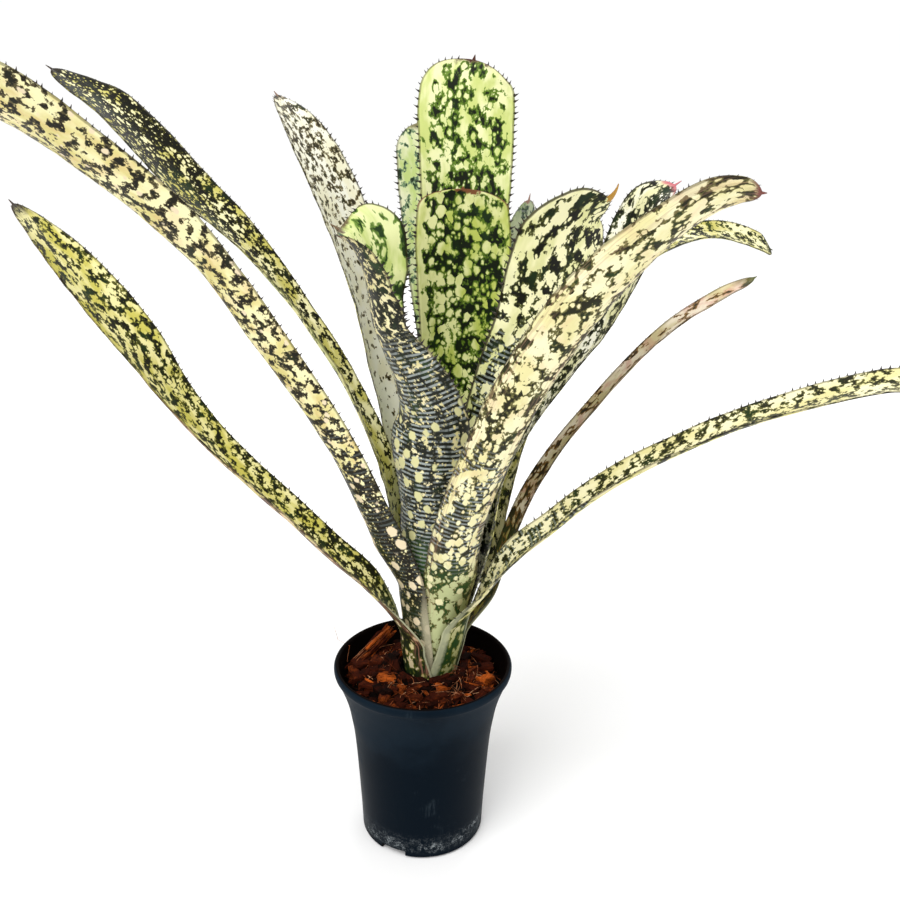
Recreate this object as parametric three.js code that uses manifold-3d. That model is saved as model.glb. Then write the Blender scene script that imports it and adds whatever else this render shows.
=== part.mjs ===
// A mottled bromeliad (limestone billbergia) in a black plastic nursery pot.
// Millimetres, +Z up. The pot stands on z = 0 with its axis on the Z axis,
// and the side seen in the photo faces -Y.
import * as THREE from 'three';
import Module from 'manifold-3d';

const wasm = await Module();
wasm.setup();
const { Manifold, Mesh } = wasm;

// Clearance left between neighbouring pieces.
const gap = 0.3;
const turn = Math.PI * 2;
const degree = Math.PI / 180;
const up = new THREE.Vector3(0, 0, 1);

// Pot: underside, outside wall, rolled lip and inside wall, as [radius, height].
// The middle pad and the foot ring stand on the floor; the rest is recessed.
const potSegments = 36;
const potFloor = 5.5;
const potUnderside = [
  [0, 0], [12, 0], [12.8, 2.5], [33.5, 2.5], [34.3, 0], [37.6, 0],
];
const potOutside = [
  [38.9, 1.3], [39.1, 7.2], [39.8, 21.6], [42.2, 59], [43.5, 72.7],
  [44.9, 81.8], [46.5, 90.8], [48.4, 98], [50.6, 104.5], [52.8, 110.2], [54.1, 112.9],
];
const potLip = [
  [55, 114.6], [55.1, 116.6], [54.3, 118.2], [53.1, 118.7], [52.1, 117.9], [51.7, 115.9],
];
const potInside = [
  [51.2, 110.5], [49.1, 104.8], [46.9, 98.3], [43.4, 82], [40.7, 59], [38.3, 21.6],
  [37.6, 7.2], [36.4, potFloor],
];
const footNotch = { count: 2, width: 17, height: 4.6, depth: 12, reach: 37, firstAngle: -117 };
const drainHole = { count: 8, radius: 3.4, reach: 23, sides: 12 };

// Substrate: a plug that fills the pot, mounded a little towards the plant. The
// rings of its top are [radius, height], from the wall inwards.
const soilTop = [[47.9, 103], [42.5, 105], [36.5, 107], [31, 109], [25.5, 111], [21, 112.5]];
const soilBump = 1.5;
const soilJitter = 0.8;
const barkChip = {
  count: 26, length: 13, width: 7, height: 4.2, nearest: 24, spread: 15, tilt: 15, goldenAngle: 137.5,
};
// Bark pieces stay inside this turned shape, clear of the wall.
const barkLimit = [[0, 90], [44.4, 90], [46.4, 97.5], [48, 103], [49, 109], [49, 119], [0, 119]];

// The plant stands in a plain hole in the substrate, on an axis that leans right.
// The hole is straight up to one height and widens above it, as the plant does.
const plantHole = {
  radius: 16.6, floor: 92, straightTo: 106, mouthRadius: 19.2, mouthHeight: 119, sides: 32,
};
const soilAtPlant = 113.2;
const plantFoot = { x: 4.5, y: 5, lean: 0.06, leanFrom: 107 };
const crownSegments = 24;
const crownProfile = [
  [0, 92.3], [7.3, 92.3], [7.4, 104], [6.4, 114], [4.2, 124], [1.6, 128], [0, 128],
];

// Leaf bases wrap round the stem in nested rings: radius at each height.
const ringHeights = [92, 107, 146, 185, 215, 245];
const rings = {
  A: [15.1, 15.7, 22.2, 30, 36, 42],
  B: [13.95, 14.45, 20.9, 28.3, 34, 40],
  C: [12.8, 13.2, 19.5, 26.4, 32, 37.5],
  D: [11.65, 12, 18.1, 24.5, 30, 35],
  E: [10.5, 10.8, 16.7, 22.6, 27.9, 32.6],
  F: [9.35, 9.6, 15.3, 20.7, 25.8, 30.2],
  G: [8.2, 8.4, 13.9, 18.8, 23.7, 27.8],
};
// Heights of the sections that a leaf has while it is still in its ring. The last
// two are this far below the height at which it leaves, and that height itself.
const sheathHeights = [plantHole.floor + gap, 107, 125, 146, 165, 185, 215];
const sheathEnd = 8;
const sheathSpacing = 4;

// Leaf blades: thickness, spacing of cross-sections, widest facet across the channel.
const sheathThickness = 0.7;
const bladeThickness = 0.95;
const rowStep = 14.5;
const facetAngle = 26 * degree;
const flatHalfAngle = 0.05;
// How square to the blade the first section above the ring is.
const firstFollow = 0.6;
// Places of the last cross-sections, as shares of the tip length.
const tipRows = [1, 0.62, 0.34, 0.14, 0.03];
const tipHalfWidth = 0.8;
// Margin spines, one on each side in every row from this length up.
const spine = { height: 2.3, base: 2.4, sweep: 0.8, start: 58, clearRun: 1.5 };

// Each leaf: ring and direction of its base, half width there, height at which it
// leaves the ring, tip length and mucro, then points of the free blade from base
// to tip as [x, y, z, half width, roll, half angle of the channel].
const leaves = {
  leaf_low_left: {
    ring: 'A', angle: 214, baseHalfWidth: 19.5, leaves: 138, tipLength: 34, mucro: 3,
    blade: [
      [-33.3, -11, 175.4, 14.5, -22, 50], [-53.8, -17, 198.3, 14.5, -20, 54],
      [-75.7, -22, 223.8, 15, -16, 54], [-97.6, -25, 247, 15.5, -14, 50],
      [-117.9, -27, 270.4, 16.5, -14, 44], [-135.5, -27, 294.5, 17.5, -18, 38],
      [-150.4, -26, 319.8, 18.5, -24, 32], [-166.8, -23, 342.2, 18, -26, 28],
      [-183.9, -21, 363.7, 17, -20, 22], [-199.5, -20, 382.9, 14.5, -10, 18],
      [-208.5, -20, 393.5, 13.5, -10, 16],
    ],
  },
  leaf_front_left: {
    ring: 'C', angle: 222, baseHalfWidth: 15, leaves: 172, tipLength: 36, mucro: 3,
    blade: [
      [-19.8, -20, 201.6, 13.8, 24, 46], [-32, -25, 229.5, 15, 16, 52],
      [-44.7, -33, 261.7, 15.5, 12, 56], [-58.7, -44, 292.6, 15.5, 16, 56],
      [-78.8, -60, 331.8, 16, 18, 54], [-97.1, -74, 366.6, 17, 14, 50],
      [-113.2, -85, 390.3, 18, 22, 44], [-131.9, -95, 410.3, 19, 22, 38],
      [-146.9, -102, 424.2, 20, 22, 34], [-160.4, -110, 437.1, 20, 26, 28],
      [-176.5, -120, 448.9, 18.5, 32, 24], [-186.2, -129, 454.3, 16, 36, 20],
      [-195.3, -138, 459.5, 14, 36, 14],
    ],
  },
  leaf_back_left: {
    ring: 'D', angle: 168, baseHalfWidth: 11, leaves: 212, tipLength: 34, mucro: 4,
    blade: [
      [-22.6, 8, 241.2, 10.6, -18, 26], [-33.9, 11.5, 268, 12.2, -2, 38],
      [-50.9, 17, 298.6, 13.8, 6, 46], [-72.6, 28, 328.3, 14.3, 8, 46],
      [-96.8, 35, 358.3, 14.9, -4, 42], [-114.4, 38, 377.2, 16.6, -12, 36],
      [-135.2, 40, 396.3, 19, -14, 30], [-156.5, 42, 420.5, 19, -14, 26],
      [-176.6, 44, 441, 17, -14, 22], [-188.4, 45, 448.5, 15, -12, 18],
      [-206.2, 46, 459.5, 13, -12, 12],
    ],
  },
  leaf_tall_left: {
    ring: 'E', angle: 122, baseHalfWidth: 10, leaves: 212, tipLength: 28, mucro: 3,
    blade: [
      [-13.8, 35, 223.1, 11, 0, 54], [-20, 44, 259.8, 14.5, 0, 52], [-29.6, 51, 295.2, 18, 6, 48],
      [-40, 57, 330.6, 20.5, 18, 42], [-48.8, 63, 364.4, 22.5, 10, 34], [-57.7, 69, 392.8, 23.5, 6, 26],
      [-69.3, 75, 417.4, 21.5, 4, 22], [-80.7, 80, 437, 17, 4, 18], [-89.8, 84, 447.9, 14, 4, 12],
    ],
  },
  leaf_banded_left: {
    ring: 'E', angle: 250, baseHalfWidth: 12, leaves: 205, tipLength: 15, mucro: 5,
    blade: [
      [1.6, -24, 223.6, 20, 0, 50], [-0.4, -30, 253.5, 23, 0, 52], [1, -35, 279.4, 25.5, -2, 56],
      [-7.2, -40, 301.8, 27.5, -8, 62], [-16.7, -43, 320.5, 28.5, -20, 70],
      [-24.1, -44, 339.3, 29.5, -38, 72], [-26.7, -45, 359.1, 31, -50, 70], [-29.9, -46, 375, 32, -52, 68],
      [-34.6, -47, 383.4, 32, -48, 66], [-39.9, -47, 386.3, 31, -48, 62],
    ],
  },
  leaf_front_inner: {
    ring: 'G', angle: 82, baseHalfWidth: 9, leaves: 205, tipLength: 10, mucro: 1.5,
    blade: [
      [20.3, 28, 253.4, 20, 2, 56], [20.6, 30, 287.3, 23, 2, 50], [21.2, 33, 313.9, 26, 4, 44],
      [21.2, 35, 342.9, 28, 4, 36], [20.3, 36, 371.3, 28.5, 4, 28], [20.1, 37, 390, 26.5, 4, 22],
      [20.3, 37, 399.3, 26, 4, 18],
    ],
  },
  leaf_tall_back: {
    ring: 'F', angle: 98, baseHalfWidth: 8.8, leaves: 215, tipLength: 18, mucro: 3,
    blade: [
      [19.6, 37, 275.9, 19, 0, 54], [20.6, 43, 311.5, 22, -2, 50], [21.4, 49, 352.2, 25, -2, 44],
      [22.5, 54, 386.2, 27, -4, 36], [22.1, 59, 419.4, 28, -4, 30], [21.8, 62, 441.1, 28.5, -4, 26],
      [23.1, 64, 457, 27, -4, 20], [25.6, 66, 467.8, 26, -4, 14],
    ],
  },
  leaf_far_back: {
    ring: 'C', angle: 108, baseHalfWidth: 8, leaves: 190, tipLength: 16, mucro: 2,
    blade: [
      [15.5, 48, 240, 10, -4, 44], [12.1, 58, 276.2, 12.5, -6, 42], [7, 66, 318.6, 15.5, -10, 38],
      [2.5, 74, 360.1, 17, -16, 32], [-1.5, 82, 393.8, 17, -20, 26], [-4.3, 88, 419, 16, -20, 20],
      [-6.9, 92, 433.2, 15, -20, 16],
    ],
  },
  leaf_inner_right: {
    ring: 'B', angle: 60, baseHalfWidth: 8, leaves: 185, tipLength: 20, mucro: 4,
    blade: [
      [35.7, 37, 250.4, 9, -4, 44], [41, 48, 285.4, 11.5, -10, 40], [47.7, 61, 319.7, 14, -18, 34],
      [53.2, 71, 348.7, 15, -26, 26], [57.6, 79, 371.9, 13, -30, 20], [61.1, 84, 389.7, 12, -30, 14],
    ],
  },
  leaf_hooked_right: {
    ring: 'F', angle: 335, baseHalfWidth: 10.3, leaves: 200, tipLength: 26, mucro: 8,
    blade: [
      [36.4, -15, 252.3, 19, -14, 54], [43.7, -21, 283.3, 22, -30, 52], [53.8, -28, 312.7, 25, -30, 48],
      [63.9, -34, 340.8, 27, -28, 42], [68.2, -39.8, 364.4, 27.5, -24, 36],
      [72.3, -43.5, 383.1, 26, -24, 32], [78.9, -46.5, 395.4, 22, -16, 28],
      [89.4, -47.8, 402.2, 18, -16, 24],
    ],
  },
  leaf_big_right: {
    ring: 'D', angle: 299, baseHalfWidth: 15, leaves: 164, tipLength: 20, mucro: 2,
    blade: [
      [16.9, -22.4, 181.8, 18, -7, 53], [21.6, -39.5, 224.6, 15.6, -10, 52],
      [31.9, -55.6, 263.5, 15, -18, 52], [42.9, -72.2, 299.3, 14.4, -26, 52],
      [56.1, -86.8, 330, 14.2, -28, 50], [70.5, -100.4, 357, 14.4, -28, 46],
      [88.4, -110.3, 379.7, 14.2, -22, 42], [104.6, -117.5, 396.2, 13, -16, 38],
      [118.3, -122.4, 407.3, 12, -16, 32], [129.6, -125.8, 412.1, 11.5, -12, 26],
      [137.4, -128, 412.2, 10.5, -12, 24],
    ],
  },
  leaf_back_right: {
    ring: 'C', angle: 12, baseHalfWidth: 12, leaves: 156, tipLength: 24, mucro: 4,
    blade: [
      [39.8, 8.8, 197.7, 11.6, 12, 54], [43.8, 9, 235, 12, 22, 50], [56.8, 7.1, 271.3, 15.8, 32, 50],
      [76.8, 6.9, 302.4, 19, 26, 44], [97, 7.7, 331.8, 21, 24, 38], [110.7, 8.4, 361.5, 22, 24, 32],
      [117.3, 9.6, 383.7, 21, 22, 26], [122, 10, 397.4, 19, 20, 20], [133, 10, 404.9, 16, 20, 16],
    ],
  },
  leaf_arching_back: {
    ring: 'A', angle: 85, baseHalfWidth: 9.5, leaves: 150, tipLength: 10, mucro: 3,
    blade: [
      [39.5, 27, 172.9, 10, 6, 50], [46, 34, 208.6, 10, 14, 52], [57.4, 46, 243.4, 11, -10, 52],
      [73.3, 64, 276.8, 12.5, -18, 50], [93.3, 84, 307.2, 13.5, -18, 46],
      [115.5, 102, 331.4, 14, -14, 42], [140.1, 118, 348.9, 14, -8, 38],
      [162.3, 131, 358.4, 13.5, -4, 36], [184.1, 144, 363, 13, 8, 34], [204.2, 156, 361.9, 12, 24, 30],
      [224.5, 168, 356.6, 10.8, 32, 26], [241.7, 178, 349.6, 9.4, 32, 18],
    ],
  },
  leaf_dry_right: {
    ring: 'A', angle: 12, baseHalfWidth: 6.5, leaves: 138, tipLength: 20, mucro: 2,
    blade: [
      [41.6, 10, 161.6, 6.6, 18, 34], [49.3, 14, 188.4, 6.2, 22, 36], [63, 22, 221.2, 6.2, 18, 40],
      [81.3, 30, 248.7, 6.5, 6, 46], [102.6, 38, 273.7, 6.5, 2, 46], [125, 46, 298, 6.5, 2, 44],
      [149.6, 53, 320, 6.5, 6, 40], [176.9, 58, 337.6, 5.5, 16, 30], [196.8, 62, 347.7, 5, 16, 20],
    ],
  },
  leaf_low_right: {
    ring: 'B', angle: 318, baseHalfWidth: 15, leaves: 148, tipLength: 34, mucro: 3,
    blade: [
      [37.6, -15, 173.8, 12.2, 24, 46], [54.6, -17.2, 200, 11.2, 36, 50], [74, -20.4, 218, 12, 24, 54],
      [90.5, -24, 234.4, 13.5, 14, 54], [114.3, -30, 254.8, 13, 14, 52], [138.4, -36, 271, 13, 10, 50],
      [162.3, -43, 286.2, 12.5, 10, 46], [186, -50, 298, 12.5, 12, 42], [209.2, -57, 308.7, 12, 16, 36],
      [232.4, -64, 316.7, 11.5, 18, 30], [252.1, -70, 318.3, 10.5, 22, 24], [272.3, -74, 316.5, 10, 22, 20],
    ],
  },
};

// Deterministic noise in the range 0 to 1.
function noise(a, b) {
  const value = Math.sin(a * 127.1 + b * 311.7) * 43758.5453;
  return value - Math.floor(value);
}

// Value at x on the line through the points (xs, ys), held level beyond both ends.
function interpolate(xs, ys, x) {
  let i = 0;
  while (i < xs.length - 2 && x > xs[i + 1]) i += 1;
  const t = THREE.MathUtils.clamp((x - xs[i]) / (xs[i + 1] - xs[i]), 0, 1);
  return ys[i] + (ys[i + 1] - ys[i]) * t;
}

// Centre of the plant at height z.
function plantAxis(z) {
  const shift = plantFoot.lean * Math.max(0, z - plantFoot.leanFrom);
  return new THREE.Vector3(plantFoot.x + shift, plantFoot.y, z);
}

function toManifold(positions, triangles) {
  return new Manifold(new Mesh({
    numProp: 3,
    vertProperties: new Float32Array(positions),
    triVerts: new Uint32Array(triangles),
  }));
}

function toGeometry(positions, triangles) {
  const geometry = new THREE.BufferGeometry();
  geometry.setAttribute('position', new THREE.BufferAttribute(new Float32Array(positions), 3));
  geometry.setIndex(triangles);
  return geometry.toNonIndexed();
}

function manifoldGeometry(solid) {
  const mesh = solid.getMesh();
  return toGeometry(mesh.vertProperties, Array.from(mesh.triVerts));
}

// Closed solid of revolution, or a bumpy one: place(radius, height, ring, step) moves points.
function ringStack(profile, segments, place) {
  const positions = [];
  const triangles = [];
  const starts = [];
  profile.forEach(([radius, height], ring) => {
    starts.push(positions.length / 3);
    if (radius === 0) {
      positions.push(0, 0, height);
      return;
    }
    for (let step = 0; step < segments; step += 1) {
      const angle = (step / segments) * turn;
      const [r, z] = place ? place(radius, height, ring, step) : [radius, height];
      positions.push(r * Math.cos(angle), r * Math.sin(angle), z);
    }
  });
  for (let ring = 0; ring < profile.length - 1; ring += 1) {
    const lower = starts[ring];
    const upper = starts[ring + 1];
    for (let step = 0; step < segments; step += 1) {
      const next = (step + 1) % segments;
      if (profile[ring][0] === 0) {
        triangles.push(lower, upper + next, upper + step);
      } else if (profile[ring + 1][0] === 0) {
        triangles.push(lower + step, lower + next, upper);
      } else {
        triangles.push(lower + step, lower + next, upper + next);
        triangles.push(lower + step, upper + next, upper + step);
      }
    }
  }
  return { positions, triangles };
}

function solidOfRevolution(profile, segments, place) {
  const { positions, triangles } = ringStack(profile, segments, place);
  return toManifold(positions, triangles);
}

function box(width, depth, height) {
  const shape = new THREE.BoxGeometry(width, depth, height);
  const points = shape.attributes.position;
  const corners = [];
  const triangles = [];
  for (let i = 0; i < shape.index.count; i += 1) {
    const vertex = shape.index.getX(i);
    const key = [points.getX(vertex), points.getY(vertex), points.getZ(vertex)];
    let found = corners.findIndex((c) => c.every((value, axis) => value === key[axis]));
    if (found < 0) found = corners.push(key) - 1;
    triangles.push(found);
  }
  return toManifold(corners.flat(), triangles);
}

function makePot() {
  const profile = [...potUnderside, ...potOutside, ...potLip, ...potInside, [0, potFloor]];
  let pot = solidOfRevolution(profile, potSegments);
  const notch = box(footNotch.depth, footNotch.width, footNotch.height * 2)
    .translate([footNotch.reach, 0, 0]);
  for (let i = 0; i < footNotch.count; i += 1) {
    const angle = footNotch.firstAngle + (i * 360) / footNotch.count;
    pot = pot.subtract(notch.rotate([0, 0, angle]));
  }
  const drill = solidOfRevolution([
    [0, 1], [drainHole.radius, 1], [drainHole.radius, potFloor + 1], [0, potFloor + 1],
  ], drainHole.sides).translate([drainHole.reach, 0, 0]);
  for (let i = 0; i < drainHole.count; i += 1) {
    pot = pot.subtract(drill.rotate([0, 0, ((i + 0.5) * 360) / drainHole.count]));
  }
  return manifoldGeometry(pot);
}

// Bark and husk pieces half sunk in the substrate, between plant and wall.
function barkPieces() {
  const radii = soilTop.map(([radius]) => radius).reverse();
  const heights = soilTop.map(([, height]) => height).reverse();
  const pieces = [];
  for (let i = 0; i < barkChip.count; i += 1) {
    const reach = barkChip.nearest + barkChip.spread * noise(i, 2);
    const scale = 0.7 + 0.6 * noise(i, 3);
    const tilt = (seed) => barkChip.tilt * (noise(i, seed) * 2 - 1);
    const chip = box(barkChip.length * scale, barkChip.width * scale, barkChip.height * scale)
      .rotate([tilt(5), tilt(6), 180 * noise(i, 11)])
      .translate([reach, 0, interpolate(radii, heights, reach) + noise(i, 4)])
      .rotate([0, 0, i * barkChip.goldenAngle + 40 * noise(i, 1)]);
    pieces.push(chip);
  }
  return pieces;
}

function makeSubstrate() {
  const top = soilTop[0][1];
  const wall = potInside.filter(([, height]) => height < top).reverse();
  const profile = [
    [0, potFloor + gap],
    ...wall.map(([radius, height]) => [radius - gap, Math.max(height, potFloor + gap)]),
    ...soilTop,
    [plantHole.radius + 1, soilAtPlant], [0, soilAtPlant],
  ];
  const firstLoose = wall.length + 2;
  const plug = solidOfRevolution(profile, potSegments, (radius, height, ring, step) => {
    if (ring < firstLoose || ring === profile.length - 1) return [radius, height];
    const bump = soilBump * (noise(ring, step) * 2 - 1);
    return [radius + soilJitter * (noise(step, ring + 9) - 0.5), height + bump];
  });
  const limit = solidOfRevolution(barkLimit, potSegments);
  const chips = barkPieces().reduce((sum, chip) => sum.add(chip)).intersect(limit);
  const hole = solidOfRevolution([
    [0, plantHole.floor], [plantHole.radius, plantHole.floor],
    [plantHole.radius, plantHole.straightTo], [plantHole.mouthRadius, plantHole.mouthHeight],
    [0, plantHole.mouthHeight],
  ], plantHole.sides).translate([plantFoot.x, plantFoot.y, 0]);
  return manifoldGeometry(plug.add(chips).subtract(hole));
}

function makeCrown() {
  const crown = solidOfRevolution(crownProfile, crownSegments);
  return manifoldGeometry(crown.translate([plantFoot.x, plantFoot.y, 0]));
}

// Stations of a leaf from base to tip. follow is how far each cross-section turns
// from level, as in the ring (0), to square to the blade (1).
function leafStations(leaf) {
  const stations = [];
  const angle = leaf.angle * degree;
  const below = leaf.leaves - sheathEnd;
  const heights = [
    ...sheathHeights.filter((z) => z < below - sheathSpacing), below, leaf.leaves,
  ];
  heights.forEach((z) => {
    const radius = interpolate(ringHeights, rings[leaf.ring], z);
    const centre = plantAxis(z);
    centre.x += radius * Math.cos(angle);
    centre.y += radius * Math.sin(angle);
    const share = THREE.MathUtils.smoothstep(z, heights[0], leaf.leaves);
    const halfWidth = leaf.baseHalfWidth + (leaf.blade[0][3] - leaf.baseHalfWidth) * share;
    stations.push({ centre, halfWidth, roll: 0, halfAngle: halfWidth / radius, follow: 0 });
  });
  leaf.blade.forEach(([x, y, z, halfWidth, roll, halfAngle], i) => {
    stations.push({
      centre: new THREE.Vector3(x, y, z),
      halfWidth,
      roll: roll * degree,
      halfAngle: halfAngle * degree,
      follow: i === 0 ? firstFollow : 1,
    });
  });
  return stations;
}

// Cross-sections of a leaf: point, side and inward directions, width and channel.
function leafRows(leaf) {
  const stations = leafStations(leaf);
  const curve = new THREE.CatmullRomCurve3(stations.map((s) => s.centre), false, 'centripetal');
  const last = stations.length - 1;
  const samples = last * 16;
  // Arc length up to each sample, to space the rows evenly.
  const lengths = [0];
  for (let i = 1; i <= samples; i += 1) {
    const step = curve.getPoint(i / samples).distanceTo(curve.getPoint((i - 1) / samples));
    lengths.push(lengths[i - 1] + step);
  }
  const total = lengths[samples];
  const shares = lengths.map((_, i) => i / samples);
  const body = total - leaf.tipLength;
  const bodyRows = Math.round(body / rowStep);
  const places = [];
  for (let i = 0; i < bodyRows; i += 1) places.push((body * i) / bodyRows);
  tipRows.forEach((share) => places.push(total - leaf.tipLength * share));
  return places.map((place) => {
    const t = interpolate(lengths, shares, place);
    const station = t * last;
    const value = (key) => {
      const i = Math.min(Math.floor(station), last - 1);
      return THREE.MathUtils.lerp(stations[i][key], stations[i + 1][key], station - i);
    };
    const centre = curve.getPoint(t);
    const follow = value('follow');
    const tangent = curve.getTangent(t);
    const ahead = up.clone().lerp(tangent, follow).normalize();
    const outward = centre.clone().sub(plantAxis(centre.z)).setZ(0).normalize();
    const inward = outward.negate();
    inward.z = follow;
    inward.addScaledVector(ahead, -inward.dot(ahead)).normalize();
    const side = new THREE.Vector3().crossVectors(ahead, inward);
    const roll = value('roll');
    const tipShare = Math.min(1, (total - place) / leaf.tipLength);
    const round = Math.sqrt(1 - (1 - tipShare) ** 2);
    return {
      place,
      centre,
      tangent,
      inward: inward.clone().multiplyScalar(Math.cos(roll)).addScaledVector(side, Math.sin(roll)),
      side: side.clone().multiplyScalar(Math.cos(roll)).addScaledVector(inward, -Math.sin(roll)),
      halfWidth: Math.max(tipHalfWidth, value('halfWidth') * round),
      halfAngle: value('halfAngle') * round,
      thickness: THREE.MathUtils.lerp(sheathThickness, bladeThickness, follow * tipShare),
    };
  });
}

// Points of one row: upper (inner) face, lower (outer) face and margin direction.
function rowPoints(row) {
  const halfAngle = Math.max(row.halfAngle, flatHalfAngle);
  const radius = row.halfWidth / halfAngle;
  const columns = 2 * Math.max(1, Math.ceil(halfAngle / facetAngle));
  const points = [];
  for (let i = 0; i <= columns; i += 1) {
    const u = (i / columns) * 2 - 1;
    const angle = halfAngle * u;
    const middle = row.centre.clone()
      .addScaledVector(row.side, radius * Math.sin(angle))
      .addScaledVector(row.inward, radius * (1 - Math.cos(angle)));
    const normal = row.inward.clone().multiplyScalar(Math.cos(angle))
      .addScaledVector(row.side, -Math.sin(angle));
    const across = row.side.clone().multiplyScalar(Math.cos(angle))
      .addScaledVector(row.inward, Math.sin(angle));
    points.push({
      u,
      across,
      upper: middle.clone().addScaledVector(normal, row.thickness / 2),
      lower: middle.clone().addScaledVector(normal, -row.thickness / 2),
    });
  }
  return points;
}

// Flat end at the base and the mucro at the tip.
function closeLeafEnds(leaf, rows, grid, triangles, addPoint) {
  const base = grid[0];
  for (let i = 0; i < base.length - 1; i += 1) {
    triangles.push(base[i].lowerIndex, base[i + 1].lowerIndex, base[i + 1].upperIndex);
    triangles.push(base[i].lowerIndex, base[i + 1].upperIndex, base[i].upperIndex);
  }
  const end = rows.at(-1);
  const apex = addPoint(end.centre.clone().addScaledVector(end.tangent, leaf.mucro));
  const tip = grid.at(-1);
  const loop = [
    ...tip.map((point) => point.lowerIndex).reverse(),
    ...tip.map((point) => point.upperIndex),
  ];
  loop.forEach((corner, i) => triangles.push(corner, loop[(i + 1) % loop.length], apex));
}

// One leaf as a closed surface, with a spine on each margin in every row.
function makeLeaf(leaf) {
  const rows = leafRows(leaf);
  const positions = [];
  const triangles = [];
  const addPoint = (point) => positions.push(point.x, point.y, point.z) / 3 - 1;
  const grid = rows.map((row) => rowPoints(row).map((point) => ({
    ...point,
    upperIndex: addPoint(point.upper),
    lowerIndex: addPoint(point.lower),
  })));
  const face = (a, b, c) => {
    triangles.push(a.upperIndex, b.upperIndex, c.upperIndex);
    triangles.push(a.lowerIndex, c.lowerIndex, b.lowerIndex);
  };
  const wall = (a, b, flip) => {
    const [first, second] = flip ? [b, a] : [a, b];
    triangles.push(first.upperIndex, first.lowerIndex, second.lowerIndex);
    triangles.push(first.upperIndex, second.lowerIndex, second.upperIndex);
  };
  const addSpine = (a, b, row, sign) => {
    const across = b.across.clone().multiplyScalar(sign);
    const apex = new THREE.Vector3();
    [a.upper, a.lower, b.upper, b.lower].forEach((point) => apex.addScaledVector(point, 0.25));
    apex.addScaledVector(across, spine.height).addScaledVector(row.tangent, spine.sweep);
    const top = addPoint(apex);
    const loop = [a.upperIndex, a.lowerIndex, b.lowerIndex, b.upperIndex];
    if (sign < 0) loop.reverse();
    loop.forEach((corner, i) => triangles.push(corner, loop[(i + 1) % 4], top));
  };
  for (let k = 0; k < grid.length - 1; k += 1) {
    const near = grid[k];
    const far = grid[k + 1];
    const length = rows[k + 1].place - rows[k].place;
    const spiny = rows[k].place > spine.start && length > spine.base * spine.clearRun;
    // Extra margin point where a spine begins.
    const split = (a, b) => {
      const share = 1 - spine.base / length;
      const upper = a.upper.clone().lerp(b.upper, share);
      const lower = a.lower.clone().lerp(b.lower, share);
      return { upper, lower, upperIndex: addPoint(upper), lowerIndex: addPoint(lower) };
    };
    const ends = [0, 1].map((end) => {
      const a = end ? near.at(-1) : near[0];
      const b = end ? far.at(-1) : far[0];
      return { a, b, extra: spiny ? split(a, b) : null };
    });
    let i = 0;
    let j = 0;
    while (i < near.length - 1 || j < far.length - 1) {
      const stepNear = j === far.length - 1
        || (i < near.length - 1 && near[i].u + near[i + 1].u <= far[j].u + far[j + 1].u + 1e-9);
      const third = stepNear ? near[i + 1] : far[j + 1];
      const isFirst = i + j === 0;
      const isLast = i + j === near.length + far.length - 3;
      if (isFirst && spiny) {
        face(near[0], third, ends[0].extra);
        face(ends[0].extra, third, far[0]);
      } else if (isLast && spiny) {
        face(near[i], stepNear ? third : ends[1].extra, stepNear ? ends[1].extra : far[j]);
        face(stepNear ? near[i] : ends[1].extra, stepNear ? ends[1].extra : third, far[j]);
      } else {
        face(near[i], third, far[j]);
      }
      if (stepNear) i += 1;
      else j += 1;
    }
    ends.forEach(({ a, b, extra }, end) => {
      const sign = end ? 1 : -1;
      if (!extra) {
        wall(a, b, sign < 0);
        return;
      }
      wall(a, extra, sign < 0);
      addSpine(extra, b, rows[k + 1], sign);
    });
  }
  closeLeafEnds(leaf, rows, grid, triangles, addPoint);
  return toGeometry(positions, triangles);
}

function finish(name, geometry, look) {
  geometry.computeVertexNormals();
  const mesh = new THREE.Mesh(geometry, new THREE.MeshStandardMaterial(look));
  mesh.name = name;
  return mesh;
}

const looks = {
  pot: { color: 0x17191d, roughness: 0.55, metalness: 0 },
  substrate: { color: 0x7d3f1c, roughness: 0.95, metalness: 0 },
  crown: { color: 0xa9ab78, roughness: 0.7, metalness: 0 },
  leaf: { color: 0x7f8a57, roughness: 0.5, metalness: 0 },
  dryLeaf: { color: 0x6d4630, roughness: 0.7, metalness: 0 },
};

const plant = new THREE.Group();
plant.name = 'potted_limestone_billbergia';
plant.add(finish('pot', makePot(), looks.pot));
plant.add(finish('substrate', makeSubstrate(), looks.substrate));
plant.add(finish('crown', makeCrown(), looks.crown));
Object.entries(leaves).forEach(([name, leaf]) => {
  plant.add(finish(name, makeLeaf(leaf), name === 'leaf_dry_right' ? looks.dryLeaf : looks.leaf));
});

export default plant;
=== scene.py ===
import math
import random

import bpy
from mathutils import Matrix, Vector, noise


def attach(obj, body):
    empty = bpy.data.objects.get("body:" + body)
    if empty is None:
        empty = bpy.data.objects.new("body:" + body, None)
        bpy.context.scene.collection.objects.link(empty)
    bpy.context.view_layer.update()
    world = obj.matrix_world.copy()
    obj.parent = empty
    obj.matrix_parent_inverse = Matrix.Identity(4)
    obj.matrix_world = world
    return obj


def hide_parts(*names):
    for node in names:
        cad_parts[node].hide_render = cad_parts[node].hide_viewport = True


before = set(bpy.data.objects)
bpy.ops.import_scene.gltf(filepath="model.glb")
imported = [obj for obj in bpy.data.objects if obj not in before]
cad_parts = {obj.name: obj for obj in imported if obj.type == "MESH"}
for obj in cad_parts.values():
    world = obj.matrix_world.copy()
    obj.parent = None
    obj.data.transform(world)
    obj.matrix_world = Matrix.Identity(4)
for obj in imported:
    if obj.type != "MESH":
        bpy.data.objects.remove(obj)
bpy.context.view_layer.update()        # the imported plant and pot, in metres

mm = 0.001
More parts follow.
